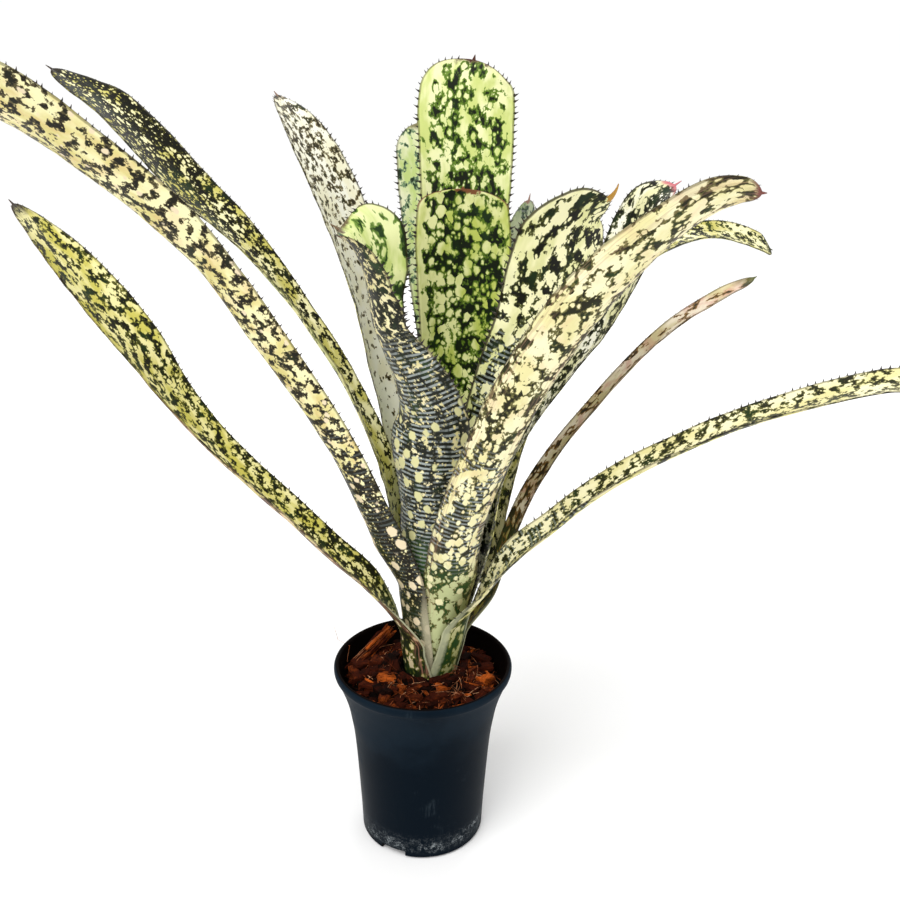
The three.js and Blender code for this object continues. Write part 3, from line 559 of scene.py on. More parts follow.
# Markings that differ from the defaults, for each leaf's inner (upper) and outer (lower) face.
# outerLooks is for leaves that show only their inner face in the view, and dryMarks for the
# withered leaf's two faces.
outerLooks = {"bands": 0.85, "spots": 0.25, "amountMid": 0.8}
dryMarks = {
    "dark": "332a18", "halo": "8a6838", "amountBase": 1.15, "amountMid": 0.46, "amountTip": 0.36,
    "tint": 0.6, "tintColour": "cc8e80", "baseColour": "a99f4c", "baseEnd": 12.0, "footAmount": 0.85,
    "tipColour": "565a30", "spotAcross": 3.0, "spotAlong": 1.2, "baseDark": "3c4422",
}
leafLooks = {
    "leaf_low_left": {
        "inner": {"ground": "faf2b0", "groundTwo": "d6cd62", "dark": "17180a", "halo": "5b5c1e",
                  "amountBase": 0.8, "amountMid": 0.56, "amountTip": 0.5, "tipColour": "2f2418",
                  "tipLength": 9.0, "spotAcross": 2.8, "spotAlong": 2.1,
                  "baseEnd": 7.0, "baseColour": "cfcf92", "baseDark": "2c4a20", "footAmount": 0.7},
        "outer": {"ground": "e2cfa6", "tint": 0.9, "tintColour": "d09682", "amountBase": 0.84,
                  "amountMid": 0.6, "baseColour": "928354", "baseEnd": 1.4, "footAmount": 0.98,
                  "spotAcross": 1.9, "spotAlong": 1.2, "dark": "1d2412",
                  "streaks": 0.5, "streakColour": "c98a74", "sheathMargin": 1.4}},
    "leaf_front_left": {
        "inner": {"ground": "e8e098", "groundTwo": "bcb45a"},
        "outer": {"ground": "f8f2bc", "groundTwo": "dfd388", "dark": "1d1a10", "halo": "5a5134",
                  "amountBase": 1.6, "amountMid": 0.5, "amountTip": 0.48, "tint": 0.2,
                  "tintColour": "dd9278", "spots": 0.34, "spotColour": "eedcb8", "spotEnd": 14.0,
                  "bands": 0.35, "bandColour": "6c7674", "bandEnd": 22.0, "tipLength": 4.0,
                  "round": 0.34, "spotAcross": 3.0, "spotAlong": 2.4, "patch": 0.62,
                  "baseEnd": 7.0, "baseColour": "b3a986", "baseDark": "2b3a20", "footAmount": 0.66,
                  "sheathMargin": 6.0, "marginColour": "b2ab8e"}},
    "leaf_back_left": {
        "inner": {"ground": "fcf6c4", "groundTwo": "cfc76a", "dark": "15150a", "halo": "4f4d1c",
                  "amountBase": 0.2, "amountMid": 0.48, "amountTip": 0.88, "tipColour": "2c2418",
                  "spotAcross": 3.2, "spotAlong": 2.4},
        "outer": {"ground": "f4ecb0", "groundTwo": "b9bd78", "bands": 0.5, "amountBase": 0.2,
                  "amountMid": 0.4}},
    "leaf_tall_left": {
        # The very pale inner ground is partly the leaf's own colour and partly painted light, since this
        # face is turned away from the lamps
        "inner": {"ground": "fefdec", "groundTwo": "f6f2d4", "dark": "332e1e", "halo": "857a56",
                  "amountBase": 0.4, "amountMid": 0.22, "amountTip": 0.56, "spotAcross": 3.4,
                  "spotAlong": 2.6, "tipColour": "8a6a58", "tipLength": 3.0, "round": 0.45},
        "outer": {"bands": 0.7, "spots": 0.25, "amountMid": 0.7}},
    "leaf_banded_left": {
        "inner": {"ground": "eef2b4", "groundTwo": "c6d67c", "dark": "1f3512", "halo": "6f8f3c",
                  "amountMid": 0.4, "amountTip": 0.42, "tipColour": "6a5a40",
                  "tipLength": 3.0, "round": 0.3, "darkMargin": 0.8, "spotAcross": 1.2,
                  "spotAlong": 0.9, "patch": 1.0},
        "outer": {"ground": "f0e8b8", "groundTwo": "dcd296", "dark": "1c1f17", "halo": "4c4a38",
                  "amountBase": 2.0, "amountMid": 0.8, "amountTip": 0.62, "tint": 0.12, "bands": 1.0,
                  "tintColour": "cfa08c", "bandColour": "9ea6a4", "bandStart": 6.0, "bandEnd": 26.0,
                  "spots": 0.31, "spotColour": "dcd8a0", "spotEnd": 18.0, "tipColour": "a0785c",
                  "tipLength": 5.0, "baseColour": "8b9a62", "baseDark": "36532a", "baseEnd": 11.5,
                  "footAmount": 1.3, "round": 0.3, "spotAlong": 2.2, "patch": 0.75}},
    "leaf_front_inner": {
        "inner": {"ground": "e3e4a6", "groundTwo": "b9c45f", "dark": "0d1706", "halo": "55701e",
                  "amountBase": 0.55, "amountMid": 0.84, "amountTip": 0.78, "clear": 0.75,
                  "clearWidth": 9.0, "spotAcross": 1.9, "spotAlong": 1.5, "patch": 0.62,
                  "round": 0.95, "softness": 0.09, "tipColour": "7a4c30", "tipLength": 1.6, "rim": 0.9}},
    "leaf_tall_back": {
        "inner": {"ground": "eff0b8", "groundTwo": "cdd882", "dark": "131a08", "halo": "64832a",
                  "amountBase": 0.6, "amountMid": 0.78, "amountTip": 0.56, "clear": 0.42,
                  "clearWidth": 10.0, "haloWidth": 0.3, "spotAcross": 2.2, "spotAlong": 1.5,
                  "tipColour": "4a2a1e", "tipLength": 3.2, "rim": 0.5}},
    "leaf_far_back": {
        "inner": {"ground": "eef0cc", "groundTwo": "c9dc8c", "dark": "27382a", "halo": "7e9a78",
                  "amountMid": 0.45, "amountTip": 0.4, "tipColour": "8a8460"}},
    "leaf_inner_right": {
        "inner": {"ground": "d6dfc0", "groundTwo": "b4c698", "dark": "4a5c50", "halo": "8a9c80",
                  "amountMid": 0.5, "amountTip": 0.42, "bands": 0.6, "bandEnd": 40.0,
                  "tipColour": "b08a80", "tipLength": 2.0}},
    "leaf_hooked_right": {
        "inner": {"ground": "dfe6a0", "groundTwo": "b8cc6c"},
        "outer": {"ground": "faf6c8", "groundTwo": "e2e2a2", "dark": "11120a", "halo": "4c4f24",
                  "amountBase": 0.55, "amountMid": 0.62, "amountTip": 0.54, "clear": 0.2,
                  "clearWidth": 5.0, "bands": 0.9, "bandColour": "8d9692", "bandStart": 8.0,
                  "bandEnd": 26.0, "spotAcross": 2.3, "spotAlong": 1.6, "patch": 0.65,
                  "baseEnd": 13.0, "baseColour": "c6d69c", "footAmount": 0.45,
                  "darkMargin": 0.9, "marginWidth": 1.6, "tipColour": "b98a34", "tipLength": 0.6,
                  "round": 0.75}},
    "leaf_big_right": {
        "inner": {"ground": "e8e2a4"},
        "outer": {"ground": "f6f0c4", "groundTwo": "e6dea2", "dark": "252412", "halo": "6e6a3c",
                  "amountBase": 1.7, "amountMid": 0.58, "amountTip": 0.54, "tint": 0.22,
                  "tintColour": "dfa98a", "bands": 0.85, "bandColour": "8f9692", "bandStart": 9.5,
                  "bandEnd": 21.0, "spots": 0.3, "spotColour": "ece6b4", "spotEnd": 14.0,
                  "baseEnd": 10.5, "baseColour": "c0c691", "baseDark": "2c4a20",
                  "footAmount": 0.58, "spotAcross": 2.5, "spotAlong": 1.6, "tipColour": "7c4a44",
                  "tipLength": 5.0, "streaks": 0.35, "round": 0.9, "marginColour": "c6c69c"}},
    "leaf_back_right": {
        "inner": {"ground": "faf6e6", "groundTwo": "e4e0b0", "dark": "14150c", "halo": "55583a",
                  "amountBase": 0.6, "amountMid": 0.62, "amountTip": 0.56, "spotAcross": 2.4,
                  "tipColour": "c8727a", "tipLength": 5.0},
        "outer": {"ground": "ece8c4", "bands": 0.5, "spots": 0.22, "spotEnd": 18.0,
                  "amountBase": 0.85, "amountMid": 0.76, "amountTip": 0.66, "baseColour": "6f7d4c"}},
    "leaf_arching_back": {
        "inner": {"ground": "f2ecbc", "groundTwo": "c6be6a", "dark": "1c1c0c", "amountMid": 0.5,
                  "amountTip": 0.56, "tipColour": "3a3a20", "spotAcross": 3.2,
                  "spotAlong": 2.4},
        "outer": {"ground": "ece6a0", "groundTwo": "b9ba58", "amountMid": 0.52, "bands": 0.3,
                  "spotAcross": 3.0, "spotAlong": 2.4, "tipColour": "3a3a20"}},
    "leaf_dry_right": {
        "inner": {**dryMarks, "ground": "f0e4cc", "groundTwo": "cfc293", "tipLength": 14.0},
        "outer": {**dryMarks, "ground": "eee0c6", "groundTwo": "c6b987"}},
    "leaf_low_right": {
        "inner": {"ground": "f6efc6", "groundTwo": "e2d99c", "dark": "24240f", "halo": "6b6a38",
                  "amountBase": 0.56, "amountMid": 0.54, "amountTip": 0.52, "bands": 0.6,
                  "bandStart": 7.5, "bandEnd": 17.0, "bandColour": "8c968c", "spotAcross": 3.2,
                  "spotAlong": 2.3},
        "outer": {"ground": "ece2b6", "footAmount": 0.76, "baseColour": "a8a870", "bands": 0.3,
                  "bandStart": 8.0, "sheathMargin": 6.5, "spotAcross": 1.9, "spotAlong": 1.2}},
}
# How far the spines of a leaf are from the common size.
spineSizes = {
    "leaf_low_left": 0.65, "leaf_front_left": 0.65, "leaf_back_left": 0.55, "leaf_tall_left": 0.85,
    "leaf_far_back": 0.9, "leaf_inner_right": 0.7, "leaf_big_right": 0.6, "leaf_back_right": 0.85,
    "leaf_arching_back": 0.5, "leaf_dry_right": 0.4, "leaf_low_right": 0.75,
}
# A leaf whose mucro is a fleshy hook: half width at its foot, and how far it rises.
hooks = {"leaf_hooked_right": {"halfWidth": 2.6, "rise": 4.5}}
noHook = {"halfWidth": 0.0, "rise": 0.0}


def valueAt(xs, ys, x):
    i = 0
    while i < len(xs) - 2 and x > xs[i + 1]:
        i += 1
    share = min(1.0, max(0.0, (x - xs[i]) / (xs[i + 1] - xs[i])))
    return ys[i] + (ys[i + 1] - ys[i]) * share


def lineAt(pairs, x):     # the same, for a list of pairs
    return valueAt([a for a, _ in pairs], [b for _, b in pairs], x)


def smooth(x, low, high):
    share = min(1.0, max(0.0, (x - low) / (high - low)))
    return share * share * (3 - 2 * share)


def around(reach, turn):
    return reach * math.cos(turn), reach * math.sin(turn)


def plantAxis(z):
    return Vector((plantFoot["x"] + plantFoot["lean"] * max(0.0, z - plantFoot["leanFrom"]),
                   plantFoot["y"], z))


def leafStations(leaf):     # centre, half width, roll, half angle of the channel, follow
    turn = math.radians(leaf["angle"])
    below = leaf["leaves"] - leafShape["sheathEnd"]
    heights = [z for z in sheathHeights if z < below - leafShape["sheathSpacing"]]
    heights += [below, leaf["leaves"]]
    stations = []
    for z in heights:
        radius = valueAt(ringHeights, ringRadii[leaf["ring"]], z)
        centre = plantAxis(z) + Vector((*around(1, turn), 0)) * radius
        share = smooth(z, heights[0], leaf["leaves"])
        wide = leaf["baseHalfWidth"] + (leaf["blade"][0][3] - leaf["baseHalfWidth"]) * share
        stations.append((centre, wide, 0.0, wide / radius, 0.0))
    for i, (x, y, z, wide, roll, channel) in enumerate(leaf["blade"]):
        follow = leafShape["firstFollow"] if i == 0 else 1.0
        stations.append((Vector((x, y, z)), wide, math.radians(roll), math.radians(channel), follow))
    return stations


def curvePoint(points, t):     # centripetal curve through the points, t from 0 to 1
    last = len(points) - 1
    i = min(int(t * last), last - 1)
    share = t * last - i
    b, c = points[i], points[i + 1]
    a = points[i - 1] if i > 0 else b * 2 - c
    d = points[i + 2] if i + 2 <= last else c * 2 - b
    steps = [(q - p).length ** 0.5 for p, q in ((a, b), (b, c), (c, d))]
    first = ((b - a) / steps[0] - (c - a) / (steps[0] + steps[1]) + (c - b) / steps[1]) * steps[1]
    second = ((c - b) / steps[1] - (d - b) / (steps[1] + steps[2]) + (d - c) / steps[2]) * steps[1]
    return (b + first * share + (c * 3 - b * 3 - first * 2 - second) * share ** 2
            + (b * 2 - c * 2 + first + second) * share ** 3)


def curveAhead(points, t, probe):     # the curve's direction at t
    before, after = max(0.0, t - probe), min(1.0, t + probe)
    return (curvePoint(points, after) - curvePoint(points, before)).normalized()


def leafRows(leaf, hook):     # rows across the blade, with their places along it in millimetres
    stations = leafStations(leaf)
    points = [s[0] for s in stations]
    last = len(stations) - 1
    samples = last * leafShape["curveSamples"]
    shares = [i / samples for i in range(samples + 1)]
    line = [curvePoint(points, t) for t in shares]
    lengths = [0.0]
    for before, after in zip(line, line[1:]):
        lengths.append(lengths[-1] + (after - before).length)
    total, tip, tipRows = lengths[-1], leaf["tipLength"], leafShape["tipRows"]
    count = round((total - tip) / leafShape["rowStep"])
    places = [(total - tip) * i / count for i in range(count)]
    places += [total - tip * (1 - math.sin(i / tipRows * leafShape["tipSweep"]))
               for i in range(tipRows + 1)]
    rows = []
    for place in places:
        t = valueAt(lengths, shares, place)
        i = min(int(t * last), last - 1)
        mix = t * last - i
        wide, roll, channel, follow = (stations[i][k] + (stations[i + 1][k] - stations[i][k]) * mix
                                       for k in (1, 2, 3, 4))
        centre = curvePoint(points, t)
        tangent = curveAhead(points, t, 1e-4)
        ahead = Vector((0, 0, 1)).lerp(tangent, follow).normalized()
        inward = plantAxis(centre.z) - centre
        inward.z = 0
        inward.normalize()
        inward.z = follow
        inward = (inward - ahead * inward.dot(ahead)).normalized()
        side = ahead.cross(inward)
        tipShare = min(1.0, (total - place) / tip)
        curved = math.sqrt(max(0.0, 1 - (1 - tipShare) ** 2))
        rows.append({
            "place": place, "centre": centre, "tangent": tangent,
            "inward": inward * math.cos(roll) + side * math.sin(roll),
            "side": side * math.cos(roll) - inward * math.sin(roll),
            "wide": max(leafShape["tipHalfWidth"], hook["halfWidth"], wide * curved),
            "channel": channel * curved,
            "thick": leafShape["sheathThick"] + (leafShape["bladeThick"] - leafShape["sheathThick"])
            * follow * tipShare,
        })
    return rows + mucroRows(rows[-1], leaf["mucro"], hook), total


def mucroRows(end, length, hook):     # the point beyond the blade's last row
    rows = []
    bend = leafShape["hookBend"] if hook["rise"] > 0 else 0
    for i in range(1, leafShape["mucroRows"] + 1):
        share = i / leafShape["mucroRows"]
        rows.append({
            **end, "place": end["place"] + length * share,
            "centre": end["centre"] + end["tangent"] * length * (share - bend * share ** 2)
            + Vector((0, 0, hook["rise"] * share ** 1.5)),
            "wide": end["wide"] * (1 - leafShape["mucroTaper"] * share),
            "thick": end["thick"] * (1 - leafShape["mucroThin"] * share),
        })
    return rows


def rowPoint(row, u, seed):     # middle of the blade at u, from -1 to 1, with its normal
    channel = max(row["channel"], leafShape["flattest"])
    radius = row["wide"] / channel
    angle = channel * u
    point = (row["centre"] + row["side"] * (radius * math.sin(angle))
             + row["inward"] * (radius * (1 - math.cos(angle))))
    normal = row["inward"] * math.cos(angle) - row["side"] * math.sin(angle)
    free = smooth(row["place"], leafShape["waveFrom"], leafShape["waveTo"]) * min(
        1.0, row["wide"] / leafShape["waveWide"])
    ripple = noise.noise(Vector((row["place"] * leafShape["waveAlong"], u * leafShape["waveAcross"],
                                 seed * 7.3)))
    edge = noise.noise(Vector((row["place"] * leafShape["edgeWaveAlong"], 9.0 if u > 0 else -9.0,
                               seed * 3.1)))
    lift = leafShape["wave"] * free * (ripple + leafShape["edgeWave"] * edge * abs(u) ** 4)
    return point + normal * lift, normal


def takeShape(piece):     # points and faces of a piece that is modelled once and copied
    points = [v.co.copy() for v in piece.data.vertices]
    faces = [tuple(p.vertices) for p in piece.data.polygons]
    bpy.data.objects.remove(piece)
    return points, faces


def meshPiece(name, points, faces, **values):     # points in millimetres, values by point
    mesh = bpy.data.meshes.new(name)
    mesh.from_pydata([p * mm for p in points], [], faces)
    for key, numbers in values.items():
        kind, field = ("FLOAT", "value") if len(numbers) == len(points) else ("FLOAT_VECTOR", "vector")
        mesh.attributes.new(key, kind, "POINT").data.foreach_set(field, numbers)
    piece = bpy.data.objects.new(name, mesh)
    bpy.context.collection.objects.link(piece)
    return piece


def makeSpineModel():     # one hooked spine on the origin: base along x, point up z
    deselectAll()
    bpy.ops.mesh.primitive_cone_add(vertices=spineShape["sides"], radius1=0.5, radius2=0.0, depth=1.0,
                                    end_fill_type="NGON", location=(0, 0, 0.5))
    spine = bpy.context.object
    bpy.ops.object.transform_apply(location=True)
    bpy.ops.object.mode_set(mode="EDIT")
    for height in spineShape["cuts"]:
        bpy.ops.mesh.select_all(action="SELECT")
        bpy.ops.mesh.bisect(plane_co=(0, 0, height), plane_no=(0, 0, 1))
    bpy.ops.object.mode_set(mode="OBJECT")
    for vertex in spine.data.vertices:
        height = vertex.co.z
        slim = 1.0 - spineShape["hollow"] * math.sin(math.pi * min(1.0, height))
        vertex.co.x = vertex.co.x * slim + spineShape["hook"] * height * height
        vertex.co.y *= slim
    return takeShape(spine)


def hornMaterial():
    material, tree, skin = newMaterial("spineHorn", spineShape["rough"])
    grain = step(cloud(objectPlace(tree), 900.0, 2.0), 0.4, 0.7)
    connect(skin["Base Color"], mixed(grain, spineShape["colour"], spineShape["colourTwo"]))
    return material


spineModel = makeSpineModel()
spineMaterial = hornMaterial()


def marginSpines(rows, total, leaf, seed, scale):     # place, outward, along, normal and size of each
    shape = spineShape
    draw = random.Random(shape["seed"] + seed)
    found = []
    for u in (-1, 1):
        line = [(row["place"], *rowPoint(row, u, seed)) for row in rows[:-leafShape["mucroRows"]]]
        run, target = 0.0, shape["spacingBase"]
        for before, here, after in zip(line, line[1:], line[2:]):
            place, point, normal = here
            run += (point - before[1]).length
            if place < shape["start"] or place > total - shape["tipGap"] or run < target:
                continue
            spacing = shape["spacingBase"] + (shape["spacingTip"] - shape["spacingBase"]) * smooth(
                place / total, shape["closerFrom"], shape["closerTo"])
            run, target = 0.0, spacing * draw.uniform(*shape["spacingSpread"])
            along = (after[1] - before[1]).normalized()
            size = scale * draw.uniform(*shape["sizeSpread"])
            if total - place < leaf["tipLength"]:
                size *= shape["tipSize"]
            found.append((point, (along.cross(normal) * u).normalized(), along, normal, size))
    return found


def addSpines(piece, spines):     # copies of the one spine, joined on after the blade's own points
    points, faces = spineModel
    allPoints, allFaces = [], []
    for base, outward, along, normal, size in spines:
        flip = 1 if along.cross(normal).dot(outward) > 0 else -1
        tall, wide, thick = (spineShape[k] * size for k in ("length", "base", "thick"))
        start = len(allPoints)
        allPoints += [base + along * (p.x * wide) + normal * (p.y * thick * flip)
                      + outward * (p.z * tall - spineShape["sunk"]) for p in points]
        allFaces += [tuple(start + i for i in f) for f in faces]
    extra = meshPiece("spines", allPoints, allFaces)
    extra.data.materials.append(spineMaterial)
    select(extra, piece)
    bpy.ops.object.join()


def markBlade(piece, measures):     # writes what the markings read; the under face's points come last
    mesh = piece.data
    half = len(measures)
    while mesh.uv_layers:
        mesh.uv_layers.remove(mesh.uv_layers[0])
    mesh.uv_layers.new(name="leafMap")
    mesh.attributes.new("leafPlace", "FLOAT_VECTOR", "POINT")
    mesh.attributes.new("leafUnder", "FLOAT", "POINT")
    # Looked up again by name, because each new layer moves the earlier ones.
    layer, place, under = (mesh.attributes[key].data for key in ("leafMap", "leafPlace", "leafUnder"))
    for index in range(half * 2):
        place[index].vector = measures[index % half][2:]
        under[index].value = 1.0 if index >= half else 0.0
    for loop in mesh.loops:
        layer[loop.index].vector = measures[loop.vertex_index % half][:2]


def makeLeaf(number, name, leaf):
    rows, total = leafRows(leaf, hooks.get(name, noHook))
    across, count = leafShape["across"], len(rows)
    deselectAll()
    bpy.ops.mesh.primitive_grid_add(x_subdivisions=across, y_subdivisions=count - 1, size=2)
    piece = bpy.context.object
    piece.name = name + "_looks"
    thickness = piece.vertex_groups.new(name="thickness")
    measures = []     # across and along in centimetres, share of the length, from the margin and the tip
    for vertex in piece.data.vertices:
        row = rows[round((vertex.co.y + 1) / 2 * (count - 1))]
        u = round((vertex.co.x + 1) / 2 * across) / across * 2 - 1
        vertex.co = rowPoint(row, u, number)[0] * mm
        thin = 1 - (1 - leafShape["marginThin"]) * abs(u) ** 10
        thickness.add([vertex.index], row["thick"] / leafShape["bladeThick"] * thin, "REPLACE")
        measures.append((u * row["wide"] / 10, row["place"] / 10, row["place"] / total,
                         row["wide"] * (1 - abs(u)), max(0.0, total - row["place"])))
    solid = piece.modifiers.new("thickness", "SOLIDIFY")
    solid.thickness = leafShape["bladeThick"] * mm
    solid.offset = 0.0
    solid.vertex_group = "thickness"
    bpy.ops.object.modifier_apply(modifier="thickness")
    markBlade(piece, measures)
    piece.data.materials.clear()
    piece.data.materials.append(leafMaterial(name + "_skin", number, **leafLooks[name]))
    piece.vertex_groups.clear()
    addSpines(piece, marginSpines(rows, total, leaf, number, spineSizes.get(name, 1.0)))
    for face in piece.data.polygons:
        face.use_smooth = True
    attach(piece, "root")
    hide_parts(name)
    return piece


leafPieces = []
for number, (name, leaf) in enumerate(leafTable.items()):
    leafPieces.append(makeLeaf(number, name, leaf))
print("leaves:", len(leafPieces), "triangles:", sum(
    len(f.vertices) - 2 for p in leafPieces for f in p.data.polygons))

# Pot: turned from its profile, then the foot notches and drain holes are cut
potShape = {
    "segments": 144,
    "underside": [(1, 0), (12, 0), (12.8, 2.5), (33.5, 2.5), (34.3, 0), (37.6, 0)],
    "outside": [(38.9, 1.3), (39.1, 7.2), (39.8, 21.6), (42.2, 59), (43.5, 72.7), (44.9, 81.8),
                (46.5, 90.8), (48.4, 98), (50.6, 104.5), (52.8, 110.2), (54.1, 112.9)],
    "lip": [(54.7, 113.6), (55, 114.6), (55.1, 115.6), (55.1, 116.6), (54.8, 117.5), (54.3, 118.2),
            (53.7, 118.6), (53.1, 118.7), (52.5, 118.4), (52.1, 117.9), (51.8, 117), (51.7, 115.9)],
    "inside": [(51.2, 110.5), (49.1, 104.8), (46.9, 98.3), (43.4, 82), (40.7, 59), (38.3, 21.6),
               (37.6, 7.2), (36.4, 5.5), (1, 5.5)],
    "notches": 2, "notchWide": 17, "notchHigh": 4.6, "notchDeep": 12, "notchReach": 37,
    "notchAngle": -117, "notchRound": 0.8,
    "holes": 8, "holeRadius": 3.4, "holeReach": 23, "holeDeep": 8, "holeMiddle": 3,
    "smoothAngle": 35, "innerBy": 1.0,
}


def finer(profile, count=3):     # more points along a bent profile, on a smooth line
    points = [Vector((r, z, 0)) for r, z in profile]
    steps = (len(points) - 1) * count
    return [tuple(curvePoint(points, i / steps)[:2]) for i in range(steps + 1)]


def turnedPiece(name, profile, segments):     # rings drawn up one after another, ends closed
    radius, height = profile[0]
    deselectAll()
    bpy.ops.mesh.primitive_circle_add(vertices=segments, radius=radius * mm, fill_type="NOTHING",
                                      location=(0, 0, height * mm))
    piece = bpy.context.object
    piece.name = name
    bpy.ops.object.transform_apply(location=True)
    bpy.ops.object.mode_set(mode="EDIT")
    bpy.ops.mesh.select_all(action="SELECT")
    bpy.ops.mesh.edge_face_add()
    for nextRadius, nextHeight in profile[1:]:
        bpy.ops.mesh.extrude_region_move(TRANSFORM_OT_translate={
            "value": (0, 0, (nextHeight - height) * mm)})
        factor = nextRadius / radius
        bpy.ops.transform.resize(value=(factor, factor, 1), center_override=(0, 0, nextHeight * mm))
        radius, height = nextRadius, nextHeight
    bpy.ops.mesh.select_all(action="SELECT")
    bpy.ops.mesh.normals_make_consistent(inside=False)
    bpy.ops.object.mode_set(mode="OBJECT")
    return piece


def cutAway(piece, cutter):
    select(piece)
    cut = piece.modifiers.new("cut", "BOOLEAN")
    cut.object = cutter
    cut.solver = "EXACT"
    bpy.ops.object.modifier_apply(modifier="cut")
    bpy.data.objects.remove(cutter)


def makePot():
    shape = potShape
    profile = shape["underside"] + finer(shape["outside"]) + shape["lip"] + shape["inside"]
    pot = turnedPiece("pot_looks", profile, shape["segments"])
    for i in range(shape["notches"]):
        turn = math.radians(shape["notchAngle"] + i * 360 / shape["notches"])
        deselectAll()
        bpy.ops.mesh.primitive_cube_add(size=mm, rotation=(0, 0, turn),
                                        location=(*around(shape["notchReach"] * mm, turn), 0))
        cutter = bpy.context.object
        cutter.scale = (shape["notchDeep"], shape["notchWide"], shape["notchHigh"] * 2)
        bpy.ops.object.transform_apply(location=False, rotation=False, scale=True)
        cutter.modifiers.new("round", "BEVEL").width = shape["notchRound"] * mm
        cutAway(pot, cutter)
    for i in range(shape["holes"]):
        turn = 2 * math.pi * (i + 0.5) / shape["holes"]
        deselectAll()
        bpy.ops.mesh.primitive_cylinder_add(
            vertices=24, radius=shape["holeRadius"] * mm, depth=shape["holeDeep"] * mm,
            location=(*around(shape["holeReach"] * mm, turn), shape["holeMiddle"] * mm))
        cutAway(pot, bpy.context.object)
    select(pot)
    bpy.ops.object.shade_smooth_by_angle(angle=math.radians(shape["smoothAngle"]))
    wall = [(z, r) for r, z in shape["outside"] + shape["lip"][:4]]
    inner = pot.data.attributes.new("potInside", "FLOAT", "POINT").data
    for index, vertex in enumerate(pot.data.vertices):
        x, y, z = vertex.co / mm
        inner[index].value = 1.0 if lineAt(wall, z) - math.hypot(x, y) > shape["innerBy"] else 0.0
    return pot


potFinish = {
    "plastic": "050f18", "wornAndPaintedLight": "101c26", "scuff": "303a41", "mineral": "b4bcbf", "inside": "0b0605",
    "scuffed": 0.55, "chalky": 0.8, "rough": 0.36, "roughHaze": 0.2, "roughMarks": 0.25,
    "specular": 0.025, "relief": 0.12, "reliefDepth": 0.0003, "chalkRelief": 0.6,
    # Chalky marks low on the wall: middle across and up, half width and half height.
    "marks": [(-17, 9, 8, 5), (7, 8, 10, 4.5), (24, 9, 8, 3), (33, 13, 7, 2.4), (-30, 7, 6, 3)],
}


def chalkMarks(place, height):     # where mineral lies: a line at the foot, and the marks
    where = step(height, 0.003, 0.006) * step(height, 0.01, 0.02, 0.3, 0.0)
    for across, up, wide, high in potFinish["marks"]:
        offset = vectorCalc("SUBTRACT", place, (across * mm, 0.0, up * mm))
        away = vectorCalc("LENGTH", stretched(offset, (1000 / wide, 3.0, 1000 / high)), output="Value")
        where = calc("MAXIMUM", where, fade(away, 0.4, 1.2))
    return where * step(axes(place)[1], -0.012, 0.0, 1.0, 0.25)


def potMaterial():
    material, tree, skin = newMaterial("potPlastic", potFinish["rough"], potFinish["specular"])
    place = objectPlace(tree)
    height = axes(place)[2]
    # A random lighter haze, plus painted shade from the height step: the pot is darker towards the bottom
    # and lighter towards the top
    hazeAndPaintedShade = cloud(place, 22.0, 4.0, 0.6) + step(height, 0.02, 0.11, -0.3, 0.12)
    base = mixed(step(hazeAndPaintedShade, 0.35, 0.7), potFinish["plastic"], potFinish["wornAndPaintedLight"])
    scratches = cloud(stretched(place, (900.0, 900.0, 60.0)), 1.0, 2.0, 0.5)
    scuffs = step(cloud(place, 38.0, 4.0, 0.65), 0.56, 0.74) * step(scratches, 0.42, 0.62)
    base = mixed(scuffs * potFinish["scuffed"], base, potFinish["scuff"])
    chalk = step(cloud(place, 260.0, 6.0, 0.8, 1.4), 0.44, 0.66)
    specks = step(cloud(place, 900.0, 3.0, 0.7), 0.42, 0.62)
    mineral = calc("MULTIPLY", chalkMarks(place, height), chalk * scaled(specks, 0.7, 0.2), clamp=True)
    base = mixed(mineral * potFinish["chalky"], base, potFinish["mineral"])
    base = mixed(attribute(tree, "potInside"), base, potFinish["inside"])
    connect(skin["Base Color"], base)
    rough = scaled(hazeAndPaintedShade, potFinish["roughHaze"], potFinish["rough"])
    connect(skin["Roughness"], scaled(calc("MAXIMUM", scuffs, mineral), potFinish["roughMarks"], rough))
    grain = cloud(place, 1400.0, 2.0) + mineral * potFinish["chalkRelief"]
    relief(skin, grain, potFinish["relief"], potFinish["reliefDepth"])
    return material


pot = makePot()
pot.data.materials.clear()
pot.data.materials.append(potMaterial())
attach(pot, "root")
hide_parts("pot")
print("pot made")

# Substrate: a rough plug under loose husk pieces, splinters and threads
soilShape = {
    "segments": 96, "rings": 26, "wall": 47.6, "hole": 18.4, "topMark": 110, "bottom": (1, 5.8),
    "sideGap": 0.998, "smoothAngle": 50, "roughness": 1.6,
    "bumps": ((0.16, 3.0, 1.0), (0.45, 8.0, 0.6)),     # how close, where in the noise, how high
    "side": [(36.1, 5.8), (37.3, 7.4), (38, 21.6), (40.4, 59), (43.1, 82), (46.5, 98.3)],
    "holeWall": [(17.0, 105.8), (16.8, 92), (1, 92)],
    "levels": [(18, 113.4), (21, 112.5), (25.5, 111), (31, 109), (36.5, 107), (42.5, 105), (47.6, 103.4)],
}
# What loose pieces keep clear of: the plant, which widens upwards, and the pot's wall by height.
clearSpace = {
    "plant": 18.3, "plantWidens": 0.24, "plantWidensFrom": 113, "wallGap": 0.7,
    "wall": [(98.3, 46.9), (104.8, 49.1), (110.5, 51.2), (118, 51.7)],
}
# Strewn over the top. area is the part of the circle's area between plant and wall.
strewn = {"radius": 48, "area": (0.14, 0.94), "plantReach": 20, "lift": (-0.2, 1.6), "turn": (0, 180),
          "tilt": (-22, 22)}
huskShape = {"count": 130, "length": (5, 12), "width": (2.6, 6), "height": (2, 4.2), "shade": (0.02, 0.6)}
splinters = {"count": 130, "length": (6, 17), "width": (0.8, 1.9), "height": (0.7, 1.5),
             "shade": (0.02, 0.95)}
